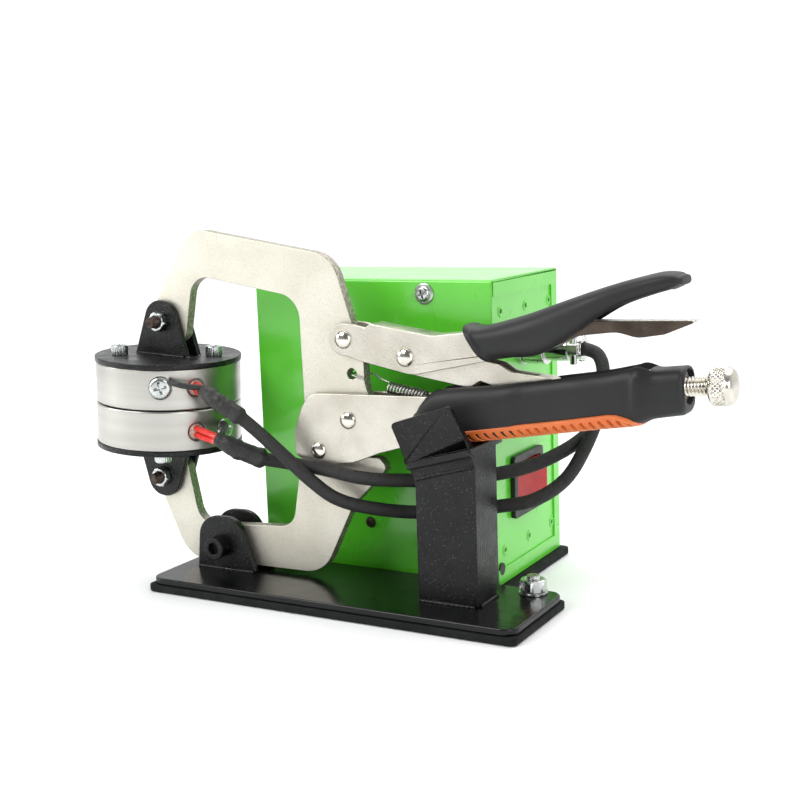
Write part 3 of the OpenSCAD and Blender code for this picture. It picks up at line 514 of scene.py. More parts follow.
def sweep(path: np.ndarray, radii: Sequence[float], sides: int = 16) -> tuple[np.ndarray, list, np.ndarray]:
    """Sweeps a round section along a path without twisting it.

    Args:
        path: Points in millimetres.
        radii: Section radius at each point.
        sides: Corners round the section.
    Returns:
        Points, faces, and the distance run at each ring.
    """
    path = np.asarray(path, float)
    along = np.gradient(path, axis=0)
    along /= np.linalg.norm(along, axis=1)[:, None]
    side = np.cross(along[0], (0.1, 0.2, 1.0))
    points = []
    for place, t, r in zip(path, along, radii):
        side = side - t * (side @ t)
        side /= np.linalg.norm(side)
        other = np.cross(t, side)
        for k in range(sides):
            a = 2 * math.pi * k / sides
            points.append(place + r * (math.cos(a) * side + math.sin(a) * other))
    run = np.concatenate([[0], np.cumsum(np.linalg.norm(np.diff(path, axis=0), axis=1))])
    return np.array(points), ring_faces(len(path), sides), run


def carve(target: bpy.types.Object, cutter: Shape) -> bpy.types.Object:
    """Cuts one closed shape out of a piece and keeps the result as its mesh.

    Args:
        target: The piece.
        cutter: Points in millimetres and faces of the shape to take away.
    Returns:
        The piece.
    """
    tool = piece("cutter", *cutter, Look.GRIP)
    cut = target.modifiers.new("cut", "BOOLEAN")
    cut.operation = "DIFFERENCE"
    cut.solver = "EXACT"
    cut.object = tool
    mesh = bpy.data.meshes.new_from_object(target.evaluated_get(bpy.context.evaluated_depsgraph_get()))
    target.modifiers.clear()
    target.data = mesh
    bpy.data.objects.remove(tool)
    return target


def prism(outline: Sequence[Pair], y0: float, y1: float) -> Shape:
    """Makes a solid from a side-view outline between two y values."""
    n = len(outline)
    points = [(x, y, z) for y in (y0, y1) for x, z in outline]
    faces = [(i, (i + 1) % n, n + (i + 1) % n, n + i) for i in range(n)]
    return np.array(points), faces + [tuple(range(n)), tuple(n + i for i in reversed(range(n)))]


def fit(made: bpy.types.Object, body: str, slot: str, *stands_for: str) -> bpy.types.Object:
    """Puts a finished piece on its body and hides the CAD nodes that it stands for.

    Args:
        made: The piece.
        body: Body that it rides on.
        slot: Material slot of the record; not used.
        *stands_for: CAD nodes that it replaces.
    Returns:
        The piece.
    """
    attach(made, body)
    if stands_for:
        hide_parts(*stands_for)
    LOG.info("%s on %s, %d faces", made.name, body, len(made.data.polygons))
    return made


def soften(node: str, body: str, slot: str, look: Look, width: float = 0.4, crease: float = 32.0) -> bpy.types.Object:
    """Copies a CAD node, rounds its sharp edges and marks them, so that the finish can show wear there, and on the
    rubber a painted edge highlight.

    Args:
        node: CAD node.
        body: Body that it rides on.
        slot: Material slot of the record.
        look: The finish.
        width: Width of the rounding, millimetres.
        crease: Angle above which an edge is rounded, degrees.
    Returns:
        The piece that stands for the node.
    """
    bm = bmesh.new()
    bm.from_mesh(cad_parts[node].data)
    bmesh.ops.remove_doubles(bm, verts=bm.verts, dist=2e-6)
    bmesh.ops.dissolve_limit(bm, angle_limit=math.radians(0.6), verts=bm.verts, edges=bm.edges)
    sharp = [e for e in bm.edges if len(e.link_faces) == 2 and e.calc_face_angle(0) > math.radians(crease)]
    worn_and_lit: set = set()
    if sharp and width:
        made = bmesh.ops.bevel(bm, geom=sharp, offset=width * MM, offset_type="OFFSET", segments=2, profile=0.6,
                               affect="EDGES", clamp_overlap=False)
        new = set(made["faces"])
        worn_and_lit = {v for f in new for v in f.verts if all(g in new for g in v.link_faces)}
    marks = bm.verts.layers.float.new("edge")
    for v in bm.verts:
        v[marks] = 1.0 if v in worn_and_lit else 0.0
    mesh = bpy.data.meshes.new(node + "_dressed")
    bm.to_mesh(mesh)
    bm.free()
    mesh.materials.clear()
    mesh.materials.append(look.value.make())
    mesh.shade_smooth()
    mesh.set_sharp_from_angle(angle=math.radians(42))
    made = bpy.data.objects.new(node + "_dressed", mesh)
    bpy.context.scene.collection.objects.link(made)
    flow = made.modifiers.new("flow", "WEIGHTED_NORMAL")
    flow.keep_sharp = True
    flow.weight = 90
    return fit(made, body, slot, node)


# ---- geometry node trees ----

def new_tree(name: str, sizes: dict[str, str]) -> tuple[Tree, bpy.types.Node, dict[str, str]]:
    """Starts a geometry node tree with named inputs.

    Args:
        name: Name of the tree.
        sizes: Input name to socket type.
    Returns:
        The tree, its input node, and input name to identifier.
    """
    tree = bpy.data.node_groups.new(name, "GeometryNodeTree")
    tree.interface.new_socket("Geometry", in_out="INPUT", socket_type="NodeSocketGeometry")
    tree.interface.new_socket("Geometry", in_out="OUTPUT", socket_type="NodeSocketGeometry")
    names = {key: tree.interface.new_socket(key, in_out="INPUT", socket_type=kind).identifier
             for key, kind in sizes.items()}
    return tree, add(tree, "NodeGroupInput"), names


def close_tree(tree: Tree, shape: Socket, finish: Socket) -> None:
    """Ends a tree in Realize Instances and Set Material."""
    real = add(tree, "GeometryNodeRealizeInstances", {0: shape})
    dressed = add(tree, "GeometryNodeSetMaterial", {"Geometry": real.outputs[0], "Material": finish})
    add(tree, "NodeGroupOutput", {0: dressed.outputs[0]})


def grow(name: str, seed: bpy.types.Object, tree: Tree, values: dict[str, object]) -> bpy.types.Object:
    """Runs a tree on a seed object and keeps the result as a plain mesh.

    Args:
        name: Name of the new piece.
        seed: Object that carries the modifier. It is removed.
        tree: The node tree.
        values: Input identifier to value.
    Returns:
        The new piece.
    """
    run = seed.modifiers.new("grow", "NODES")
    run.node_group = tree
    for key, value in values.items():
        run[key] = value
    bpy.context.view_layer.update()
    mesh = bpy.data.meshes.new_from_object(seed.evaluated_get(bpy.context.evaluated_depsgraph_get()))
    bpy.data.objects.remove(seed)
    mesh.name = name
    made = bpy.data.objects.new(name, mesh)
    bpy.context.scene.collection.objects.link(made)
    return made


@dataclass
class Place:
    """Where one repeated head stands."""

    at: Triple
    axis: Triple
    spin: float = 0.0


def scatter(name: str, head: Shape, places: Sequence[Place], look: Look,
            crease: float = 35.0) -> bpy.types.Object:
    """Repeats one head at several places with a geometry node tree.

    Args:
        name: Name of the piece.
        head: Points in millimetres about +Z, and faces.
        places: Where the copies stand.
        look: The finish.
        crease: Angle above which an edge stays sharp, degrees.
    Returns:
        One mesh with every copy.
    """
    pattern = piece("head", *head, look, crease)
    mesh = bpy.data.meshes.new("spots")
    mesh.from_pydata([tuple(c * MM for c in p.at) for p in places], [], [])
    mesh.attributes.new("aim", "FLOAT_VECTOR", "POINT")
    mesh.attributes.new("spin", "FLOAT", "POINT")
    mesh.attributes["aim"].data.foreach_set("vector", [float(c) for p in places for c in p.axis])
    mesh.attributes["spin"].data.foreach_set("value", [math.radians(p.spin) for p in places])
    seed = bpy.data.objects.new("seed", mesh)
    bpy.context.scene.collection.objects.link(seed)
    tree, given, names = new_tree("repeat_heads", {"Head": "NodeSocketObject", "Finish": "NodeSocketMaterial"})
    heads = add(tree, "GeometryNodeObjectInfo", {"Object": given.outputs["Head"]})
    facing = add(tree, "GeometryNodeInputNamedAttribute", {"Name": "aim"}, data_type="FLOAT_VECTOR")
    turn = add(tree, "GeometryNodeInputNamedAttribute", {"Name": "spin"}, data_type="FLOAT")
    stand = add(tree, "FunctionNodeAlignRotationToVector", {"Vector": facing.outputs[0]}, axis="Z")
    twist = add(tree, "FunctionNodeAxisAngleToRotation", {"Axis": (0, 0, 1), "Angle": turn.outputs[0]})
    both = add(tree, "FunctionNodeRotateRotation", {0: stand.outputs[0], 1: twist.outputs[0]}, rotation_space="LOCAL")
    copies = add(tree, "GeometryNodeInstanceOnPoints",
                 {"Points": given.outputs["Geometry"], "Instance": heads.outputs["Geometry"],
                  "Rotation": both.outputs[0]})
    close_tree(tree, copies.outputs[0], given.outputs["Finish"])
    made = grow(name, seed, tree, {names["Head"]: pattern, names["Finish"]: look.value.make()})
    bpy.data.objects.remove(pattern)
    return made


# ---- repeated hardware ----

def hexagon(across: float) -> Callable[[float], float]:
    """Returns the radius of a hexagon, given its size across flats, at any angle."""
    return lambda a: across / 2 / math.cos((a + math.pi / 6) % (math.pi / 3) - math.pi / 6)


def cross(half_width: float, half_length: float) -> Callable[[float], float]:
    """Returns the radius of a plus-shaped slot at any angle."""
    def radius(a: float) -> float:
        """Radius at one angle."""
        b = abs((a + math.pi / 4) % (math.pi / 2) - math.pi / 4)
        return min(half_length / math.cos(b), half_width / max(math.sin(b), 1e-6))
    return radius


def at_most(shape: Callable[[float], float], limit: float) -> Callable[[float], float]:
    """Returns a shape's radius cut off by a circle, as a chamfer does."""
    return lambda a: min(shape(a), limit)


def ribbed(radius: float, ribs: int, depth: float) -> Callable[[float], float]:
    """Returns the radius of a straight-knurled circle."""
    return lambda a: radius - depth * abs((a * ribs / (2 * math.pi)) % 1 - 0.5) * 2


def rivet_head(radius: float, rise: float) -> Shape:
    """Makes a domed rivet head whose rim is sunk a little into the sheet."""
    dome = [(radius * math.cos(math.radians(a)), rise * math.sin(math.radians(a))) for a in range(0, 90, 9)]
    return turned([(radius * 0.9, -0.8)] + dome + [(radius * 0.05, rise)], 40)


def cap_screw(head_d: float, head_h: float, key: float, shank_d: float, shank: float) -> Shape:
    """Makes a socket cap screw with a knurled head, standing on its shank."""
    r, socket, k = head_d / 2, hexagon(key), ribbed(head_d / 2, 24, 0.22)
    return turned([(shank_d / 2, -shank), (shank_d / 2, -0.02), (r * 0.93, 0), (k, 0.3), (k, head_h - 0.6),
                   (r * 0.96, head_h - 0.35), (r * 0.88, head_h), (key / 2 * 1.22, head_h), (socket, head_h - 0.2),
                   (socket, head_h - 2.0), (0.05, head_h - 2.3)], 96)


def pan_head(radius: float, rise: float, recess: float) -> Shape:
    """Makes a pan head with a cross recess."""
    slot = cross(radius * 0.13, radius * 0.6)
    deep = cross(radius * 0.07, radius * 0.34)
    return turned([(radius * 0.92, -0.5), (radius, 0), (radius * 0.99, rise * 0.35), (radius * 0.9, rise * 0.75),
                   (radius * 0.76, rise * 0.94), (radius * 0.62, rise), (slot, rise), (deep, rise - recess),
                   (0.02, rise - recess * 1.1)], 120)


def hex_nut(across: float, height: float, bore: float) -> Shape:
    """Makes a chamfered nut with a washer face, closed where the bolt passes."""
    shape, wide = hexagon(across), across / 2
    return turned([(wide * 0.93, 0), (wide * 0.97, 0.15), (at_most(shape, wide * 1.04), 0.25), (shape, 0.75),
                   (shape, height - 0.75), (at_most(shape, wide * 1.04), height - 0.2), (wide * 0.96, height),
                   (bore / 2 + 0.5, height), (bore / 2, height - 0.5), (bore / 2 - 0.3, height - 1.0)], 120)


def thread(radius: float, length: float, pitch: float, depth: float, rows: int = 5,
           sides: int = 36) -> Shape:
    """Makes a threaded rod about +Z, from its own height 0, with a rolled thread.

    Args:
        radius: Outer radius.
        length: Threaded length.
        pitch: Rise of one turn.
        depth: Depth of the thread.
        rows: Rings for each pitch.
        sides: Points round the rod.
    Returns:
        Points in millimetres, and faces.
    """
    def crest(height: float) -> Callable[[float], float]:
        """Radius of the thread at a height, as a function of the angle."""
        fade = min(1.0, height / pitch, (length - height) / pitch)
        return lambda a: radius - depth * max(0.0, 1 - fade * 0.5 * (1 + math.cos(2 * math.pi * height / pitch - a)))
    count = int(length / pitch * rows)
    return turned([(crest(length * i / count), length * i / count) for i in range(count + 1)], sides)


def bead(name: str, path: Sequence[Triple], radius: float, look: Look) -> bpy.types.Object:
    """Makes a rippled weld bead along a path.

    Args:
        name: Name of the piece.
        path: Points in millimetres.
        radius: Mean radius.
        look: The finish.
    Returns:
        The piece.
    """
    points = smooth_rows(path, max(4, int(60 / len(path))))
    radii = [radius * (1 + 0.14 * math.sin(i * 1.9) + 0.1 * noise.noise(Vector(p) * 0.9)) for i, p in enumerate(points)]
    made = sweep(points, radii, 12)[:2]
    return piece(name, *made, look, 60)


# ---- sub-assemblies ----

def cross_rivets(name: str, places: Sequence[Pair], width: float, radius: float, rise: float, body: str,
                 *stands_for: str) -> None:
    """Builds rivets across a channel: domed heads on both sides, and their shanks.

    Args:
        name: Start of the names of the two pieces.
        places: Middle of each rivet, x and z.
        width: Outside width of the channel.
        radius: Radius of a head.
        rise: Height of a head.
        body: Body that they ride on.
        *stands_for: CAD nodes that the heads replace.
    """
    spots = [Place((x, CY + s * width / 2, z), (0, s, 0)) for x, z in places for s in (-1, 1)]
    fit(scatter(f"{name}_heads", rivet_head(radius, rise), spots, Look.BRIGHT_NICKEL), body, "nickel", *stands_for)
    shank = turned([(3, 0), (3, width)], 32)
    bars = join([put(shank, (x, CY - width / 2, z), (0, 1, 0)) for x, z in places])
    fit(piece(f"{name}_shanks", *bars, Look.BRIGHT_NICKEL), body, "nickel")


@dataclass
class Base:
    """Rubber sheet, steel strip, clevis ears, cradle post and their fasteners."""

    strip_top: float = 6.0
    stud: Pair = (75.5, -16.0)
    nut_af: float = 10.0
    post_x: Pair = (36.9, 63.5)
    post_front: float = -43.0
    ear_y: Pair = (-36.5, -23.5)
    ear_x: Pair = (-77.0, -47.6)

    def build(self) -> None:
        """Builds the base pieces."""
        soften("base_pad", "base", "rubber", Look.RUBBER, 0.5)
        soften("clamp_strip", "base", "gloss_black", Look.GLOSS_BLACK, 0.7)
        for ear in ("pivot_ear_front", "pivot_ear_rear"):
            soften(ear, "base", "black_powder", Look.BLACK_POWDER, 0.6)
        soften("cradle_post", "base", "black_powder", Look.BLACK_POWDER, 0.6)
        soften("pivot_bolt", "base", "black_oxide", Look.BLACK_POWDER, 0.4)
        soften("pivot_nut", "base", "zinc", Look.ZINC, 0.3)
        self.fasteners()
        self.welds()

    def fasteners(self) -> None:
        """Builds the stud, its washer and its chamfered nut."""
        x, y = self.stud
        shank = thread(3.0, 13.4, 1.0, 0.45)
        fit(piece("strip_stud_thread", *put(shank, (x, y, 0.2), (0, 0, 1)), Look.ZINC, 60),
            "base", "zinc", "strip_stud")
        washer = turned([(3.4, 0), (5.8, 0), (6.0, 0.25), (6.0, 0.95), (5.8, 1.2), (3.4, 1.2)], 64)
        nut = hex_nut(self.nut_af, 4.9, 6.0)
        both = join([put(washer, (x, y, self.strip_top), (0, 0, 1)),
                     put(nut, (x, y, self.strip_top + 1.2), (0, 0, 1), 12)])
        fit(piece("strip_nut_and_washer", *both, Look.ZINC), "base", "zinc", "strip_nut")

    def welds(self) -> None:
        """Builds the weld beads at the feet of the post and of the clevis ears."""
        z = self.strip_top + 0.2
        x0, x1 = self.post_x
        lines = {"post_bend_weld": [(x0 + 0.6, self.post_front - 0.1, 56.2), (50, self.post_front - 0.15, 59.8),
                                    (x1 - 0.6, self.post_front - 0.1, 63.2)],
                 "post_weld_front": [(x0 + 1, self.post_front - 0.3, z), (50, self.post_front - 0.4, z),
                                     (x1 - 1, self.post_front - 0.3, z)],
                 "post_weld_side": [(x1 + 0.2, self.post_front + 2, z), (x1 + 0.2, self.post_front + 9, z),
                                    (x1 + 0.2, self.post_front + 17, z)]}
        for key, y in zip(("front", "rear"), self.ear_y):
            side = y + (-1.6 if key == "front" else 1.6)
            lines[f"ear_weld_{key}"] = [(self.ear_x[0], side, z), (-62, side, z), (self.ear_x[1], side, z)]
        for name, line in lines.items():
            fit(bead(name, line, 0.9, Look.BLACK_POWDER), "base", "black_powder")


@dataclass
class Box:
    """Sheet-metal control box with its switch, connectors, meters and inlet."""

    x0: float = -60.6
    x1: float = 55.4
    y0: float = -7.5
    y1: float = 61.5
    z0: float = 3.0
    z1: float = 132.5
    lip: float = 7.0
    lip_in: float = 1.3
    lip_thick: float = 0.8
    dimples: list[Pair] = field(default_factory=lambda: [(1.4, 118.8), (26.8, 118.8), (52.2, 118.8), (1.4, 17.2),
                                                         (26.8, 17.2), (52.2, 17.2)])
    screw: Pair = (24.7, 126.5)
    meters: Pair = (64.0, 102.0)

    def build(self) -> None:
        """Builds every piece of the box."""
        soften("box_cover", "base", "green", Look.LIME_COAT, 0.45)
        for node in ("box_floor", "panel_right", "panel_left"):
            soften(node, "base", "green", Look.LIME_COAT, 0.35)
        self.lips()
        self.rivets()
        self.front_screws()
        for node, look, slot, width in (("hole_plug", Look.BLACK_PLASTIC, "black_plastic", 0.3),
                                        ("switch_body", Look.BLACK_PLASTIC, "black_plastic", 0.45),
                                        ("mains_inlet", Look.BLACK_PLASTIC, "black_plastic", 0.4),
                                        ("temp_controllers", Look.BLACK_PLASTIC, "black_plastic", 0.4),
                                        ("terminal_strip", Look.BLACK_PLASTIC, "black_plastic", 0.3),
                                        ("relay_blocks", Look.RELAY_WHITE, "relay_white", 0.5),
                                        ("cable_sockets", Look.CHROME, "chrome", 0.25),
                                        ("cable_plugs", Look.CHROME, "chrome", 0.3)):
            soften(node, "base", slot, look, width)
        soften("rocker", "rocker", "rocker_red", Look.ROCKER_RED, 0.6)
        self.meter_faces()

    def lips(self) -> None:
        """Builds the flat lips that the cover turns in over each end panel."""
        near, far, low, high = self.y0 + self.lip_in, self.y1 - self.lip_in, self.z0 + 0.4, self.z1 - self.lip_in
        step_y, step_low, step_high = self.y1 - self.lip, self.z0 + self.lip, self.z1 - self.lip
        corners = [(near, low), (far, low), (far, high), (near, high), (near, step_high), (step_y, step_high),
                   (step_y, step_low), (near, step_low)]
        points, faces = prism(rounded([(y, z, 0.25) for y, z in corners], 30), 0, self.lip_thick)
        for name, x, way in (("cover_lip_right", self.x1 - 0.45, 1), ("cover_lip_left", self.x0 + 0.45, -1)):
            placed = np.stack([x + way * points[:, 1] - way * 0.05, points[:, 0], points[:, 2]], axis=1)
            fit(piece(name, placed, faces, Look.LIME_COAT), "base", "green")

    def rivets(self) -> None:
        """Builds the pressed dimples with their dark centres on both end panels."""
        rim = turned([(2.6, -1.0), (2.55, -0.05), (2.2, 0.3), (1.7, 0.5), (1.25, 0.42), (1.0, 0.1), (0.9, -0.5)], 36)
        pip = turned([(1.0, -0.9), (0.98, -0.1), (0.7, 0.12), (0.3, 0.2), (0.03, 0.22)], 24)
        spots = [Place((self.x1 - 0.4, y, z), (1, 0, 0)) for y, z in self.dimples]
        spots += [Place((self.x0 + 0.4, y, z), (-1, 0, 0)) for y, z in self.dimples]
        fit(scatter("panel_rivet_rims", rim, spots, Look.LIME_COAT), "base", "green", "panel_rivets")
        fit(scatter("panel_rivet_pips", pip, spots, Look.BLACK_OXIDE), "base", "black_oxide")

    def front_screws(self) -> None:
        """Builds the cover screw with its washer, and the small button screw."""
        x, z = self.screw
        head = pan_head(3.3, 2.0, 1.5)
        washer = turned([(1.7, -0.2), (4.3, -0.1), (4.45, 0.2), (4.4, 0.55), (3.9, 0.75), (1.7, 0.8)], 48)
        both = join([put(washer, (x, self.y0, z), (0, -1, 0)),
                     put(head, (x, self.y0 - 0.7, z), (0, -1, 0), 20)])
        fit(piece("cover_screw_head", *both, Look.ZINC), "base", "zinc", "cover_screw")
        soften("cover_button", "base", "black_oxide", Look.BLACK_OXIDE, 0.25)

    def meter_faces(self) -> None:
        """Builds the smoked windows and flat keys of the two panel meters."""
        panes, keys = [], []
        x = self.x0 - 2.6
        for z in self.meters:
            panes.append(Place((x + 0.9, 26.9, z + 2.5), (-1, 0, 0)))
            keys += [Place((x + 0.1, 26.9 + dy, z - 8.3), (-1, 0, 0)) for dy in (-15, -5, 5, 15)]
        for name, (a, b), spots, look, slot in (
                ("meter_windows", (19.6, 6.2), panes, Look.SMOKED, "black_plastic"),
                ("meter_keys", (3.6, 2.2), keys, Look.RELAY_WHITE, "relay_white")):
            points, faces = prism(rounded([(-a, -b, 1), (a, -b, 1), (a, b, 1), (-a, b, 1)], 30), -0.3, 0.5)
            fit(scatter(name, (points[:, [0, 2, 1]].copy(), faces), spots, look), "base", slot)


@dataclass
class Sleeve:
    """A moulded grip: rounded sections between a top and a bottom line.

    Each row holds top x, top z, bottom x, bottom z and half width.
    """

    rows: list[tuple[float, float, float, float, float]]
    square: float = 3.6
    around: int = 72
    steps: int = 9
    cap: float = 1.6

    def stations(self) -> np.ndarray:
        """Returns the finer rows."""
        return smooth_rows(self.rows, self.steps)

    def section(self, row: np.ndarray, angle: float) -> np.ndarray:
        """Returns a point of one section. Angle 0 faces the operator and 90 degrees is the top."""
        top, low = np.array((row[0], row[1])), np.array((row[2], row[3]))
        mid, up = (top + low) / 2, (top - low) / 2
        c, s = math.cos(angle), math.sin(angle)
        across = math.copysign(abs(c) ** (2 / self.square), c) * row[4]
        rise = math.copysign(abs(s) ** (2 / self.square), s)
        return np.array((mid[0] + up[0] * rise, CY - across, mid[1] + up[1] * rise))

    def shape(self, change: Callable[[np.ndarray, float], np.ndarray] | None = None) -> Shape:
        """Lofts the grip, with rounded ends.

        Args:
            change: Moves a surface point, given the point and its angle.
        Returns:
            Points in millimetres, and faces.
        """
        rings = []
        for row in self.stations():
            ring = [self.section(row, 2 * math.pi * k / self.around) for k in range(self.around)]
            if change:
                ring = [change(p, 2 * math.pi * k / self.around) for k, p in enumerate(ring)]
            rings.append(np.array(ring))
        for end, near in ((0, 1), (-1, -2)):
            mid = rings[end].mean(axis=0)
            out = mid - rings[near].mean(axis=0)
            out /= np.linalg.norm(out)
            extra = []
            for a in (30, 55, 75, 88):
                shrink = 1 - (1 - math.cos(math.radians(a))) * 0.3
                extra.append(mid + (rings[end] - mid) * shrink + out * self.cap * math.sin(math.radians(a)))
            rings = extra[::-1] + rings if end == 0 else rings + extra
        return np.concatenate(rings), ring_faces(len(rings), self.around)


@dataclass
class FixedHandle:
    """Lower jaw, handle channel, moulded grip, orange insert, spring and rivets."""

    chan_w: float = 11.0
    rivets: list[Pair] = field(default_factory=lambda: [(2.2, 76.5), (-12.9, 62.8)])
    grip: Sleeve = field(default_factory=lambda: Sleeve([
        (35.2, 82.0, 35.0, 76.0, 8.6), (37.4, 86.0, 35.9, 72.2, 9.4), (41.0, 89.8, 38.4, 69.0, 9.7),
        (47.0, 92.3, 45.0, 69.3, 9.7), (72.0, 95.2, 70.0, 73.1, 9.7), (97.0, 99.0, 97.0, 77.4, 9.7),
        (112.0, 101.4, 113.5, 80.0, 9.7), (122.5, 103.7, 124.5, 81.6, 9.7), (126.7, 104.5, 128.5, 82.7, 9.5),
        (129.9, 103.9, 131.7, 84.2, 8.9), (132.9, 103.1, 134.5, 84.9, 8.6), (138.5, 103.6, 139.5, 85.8, 8.6),
        (142.6, 104.0, 143.2, 86.4, 8.5)]))
    slot: list[Pair] = field(default_factory=lambda: [(20, 64.2), (44, 71.2), (90, 79.2), (131.4, 85.3), (131.4, 130),
                                                      (20, 130)])
    panel_x: Pair = (77.0, 125.2)
    panel_deep: float = 0.85
    insert_top: list[Pair] = field(default_factory=lambda: [(54.6, 75.6), (72, 78.4), (97, 82.4), (116, 85.8),
                                                            (119, 85.8), (127.8, 83.0)])
    insert_x: Pair = (55.0, 127.2)
    slot_pitch: float = 3.6
    slot_wide: float = 1.3
    slot_deep: float = 0.6
    slot_lean: float = 0.42
    slot_from: float = 1.7

    def build(self) -> None:
        """Builds the fixed half of the clamp."""
        soften("lower_jaw", "clamp", "nickel", Look.NICKEL_PLATE, 0.35)
        soften("handle_channel", "clamp", "nickel", Look.PRESSED_NICKEL, 0.45)
        tilt = math.radians(SCREW_TILT)
        ring = turned([(3.8, -21.2), (6.2, -21.2), (6.5, -20.9), (6.5, -10.3), (6.2, -10.0), (3.8, -10.0)], 48)
        bush = aim(ring[0], (SCREW[0], CY, SCREW[1]), (math.cos(tilt), 0, math.sin(tilt)))
        fit(piece("screw_bush_ring", bush, ring[1], Look.PRESSED_NICKEL), "clamp", "nickel", "screw_bush")
        self.heads()
        self.moulding()
        self.insert()
        self.spring()

    def heads(self) -> None:
        """Builds the domed heads of the two rivets on both sides."""
        cross_rivets("handle_rivet", self.rivets, self.chan_w, 3.8, 1.8, "clamp", "handle_rivet", "jaw_rivet")

    def sunken(self, point: np.ndarray, angle: float) -> np.ndarray:
        """Presses the long side panels in by a step with a curved front end."""
        lean = (point[2] - 87 - (point[0] - 90) * 0.16) / 11
        start = self.panel_x[0] + 3.5 * lean * lean
        inside = 1 / (1 + math.exp(-(point[0] - start) * 3)) / (1 + math.exp((point[0] - self.panel_x[1]) * 2.2))
        facing = max(0.0, abs(math.cos(angle)) - 0.25) / 0.75
        depth = self.panel_deep * inside * min(1.0, facing * 3)
        return point + np.array((0, depth if math.cos(angle) > 0 else -depth, 0))

    def moulding(self) -> None:
        """Builds the lower grip with its channel slot and its hollow end."""
        points, faces = self.grip.shape(self.sunken)
        made = piece("lower_grip_moulding", points, faces, Look.GRIP, 50)
        carve(made, prism(self.slot, CY - 5.6, CY + 5.6))
        bore = turned([(6.6, 0), (6.6, 60)], 64)
        tilt = math.radians(SCREW_TILT)
        carve(made, put(bore, (110, CY, 95.0), (math.cos(tilt), 0, math.sin(tilt))))
        made.data.shade_smooth()
        made.data.set_sharp_from_angle(angle=math.radians(40))
        fit(made, "clamp", "grip", "lower_grip")

    def insert(self) -> None:
        """Builds the orange insert, which wraps the lower front edge and has slanted slots."""
        stations = self.grip.stations()
        mids = stations[:, [0, 2]].mean(axis=1)
        tops_x, tops_z = zip(*self.insert_top)
        across, count, step = 34, 480, 0.16
        outer, inner = [], []
        for i in range(count + 1):
            x = self.insert_x[0] + (self.insert_x[1] - self.insert_x[0]) * i / count
            row = np.array([np.interp(x, mids, stations[:, k]) for k in range(5)])
            high = self.meet(row, float(np.interp(x, tops_x, tops_z)))
            fine = np.linspace(high, -math.pi / 2 - 0.2, 160)
            line = np.array([self.grip.section(row, a) for a in fine])
            run = np.concatenate([[0], np.cumsum(np.linalg.norm(np.diff(line, axis=0), axis=1))])
            for j in range(across + 1):
                v = j / across
                angle = float(np.interp(v * run[-1], run, fine))
                p = self.grip.section(row, angle)
                normal = np.array((0, -abs(math.cos(angle)), math.sin(angle)))
                depth = v * run[-1]
                slant = (p[0] - depth * self.slot_lean) / self.slot_pitch % 1
                inside = self.slot_from < depth < run[-1] - 0.3 and 2 < i * step < count * step - 3
                lift = -self.slot_deep if inside and slant < self.slot_wide / self.slot_pitch else 0.45
                edge = min(depth, run[-1] - depth, i * step, (count - i) * step)
                outer.append(p + normal * min(lift, 0.02 + edge * 1.4))
                inner.append(p - normal * 0.9)
        cols = across + 1
        n = len(outer)
        faces = []
        for i in range(count):
            for j in range(across):
                a = i * cols + j
                faces.append((a, a + 1, a + cols + 1, a + cols))
                faces.append((n + a, n + a + cols, n + a + cols + 1, n + a + 1))
        for i in range(count):
            for a in (i * cols, i * cols + across):
                faces.append((a, a + cols, n + a + cols, n + a))
        for j in range(across):
            for a in (j, count * cols + j):
                faces.append((a, a + 1, n + a + 1, n + a))
        made = piece("orange_insert", np.array(outer + inner), faces, Look.ORANGE, 50)
        fit(made, "clamp", "orange", "grip_insert")

    def meet(self, row: np.ndarray, z: float) -> float:
        """Returns the angle at which a section reaches height z on its front side."""
        low, high = -math.pi / 2, 0.0
        for _ in range(30):
            mid = (low + high) / 2
            low, high = (mid, high) if self.grip.section(row, mid)[2] < z else (low, mid)
        return (low + high) / 2

    def spring(self) -> None:
        """Builds the tension spring as a helix with hooked ends, stretched between the jaw and the handle."""
        start, end = np.array((19.8, CY - 1.3, 90.6)), np.array((36.5, CY - 1.3, 87.9))
        run = float(np.linalg.norm(end - start))
        sizes = {"Turns": "NodeSocketFloat", "Coil Radius": "NodeSocketFloat", "Length": "NodeSocketFloat",
                 "Wire Radius": "NodeSocketFloat", "Finish": "NodeSocketMaterial"}
        tree, given, names = new_tree("coil", sizes)
        helix = add(tree, "GeometryNodeCurveSpiral",
                    {"Resolution": 20, "Rotations": given.outputs["Turns"],
                     "Start Radius": given.outputs["Coil Radius"], "End Radius": given.outputs["Coil Radius"],
                     "Height": given.outputs["Length"]})
        wire = add(tree, "GeometryNodeCurvePrimitiveCircle", {"Resolution": 8, "Radius": given.outputs["Wire Radius"]})
        tube = add(tree, "GeometryNodeCurveToMesh", {0: helix.outputs[0], 1: wire.outputs[0], "Fill Caps": True})
        close_tree(tree, tube.outputs[0], given.outputs["Finish"])
        seed = bpy.data.objects.new("seed", bpy.data.meshes.new("seed"))
        bpy.context.scene.collection.objects.link(seed)
        coil = grow("return_spring_coil", seed, tree, {
            names["Turns"]: 12.0, names["Coil Radius"]: 2.05 * MM, names["Length"]: run * MM,
            names["Wire Radius"]: 0.45 * MM, names["Finish"]: Look.SPRING_WIRE.value.make()})
        points = np.array([v.co for v in coil.data.vertices]) / MM
        faces = [tuple(p.vertices) for p in coil.data.polygons]
        bpy.data.objects.remove(coil)
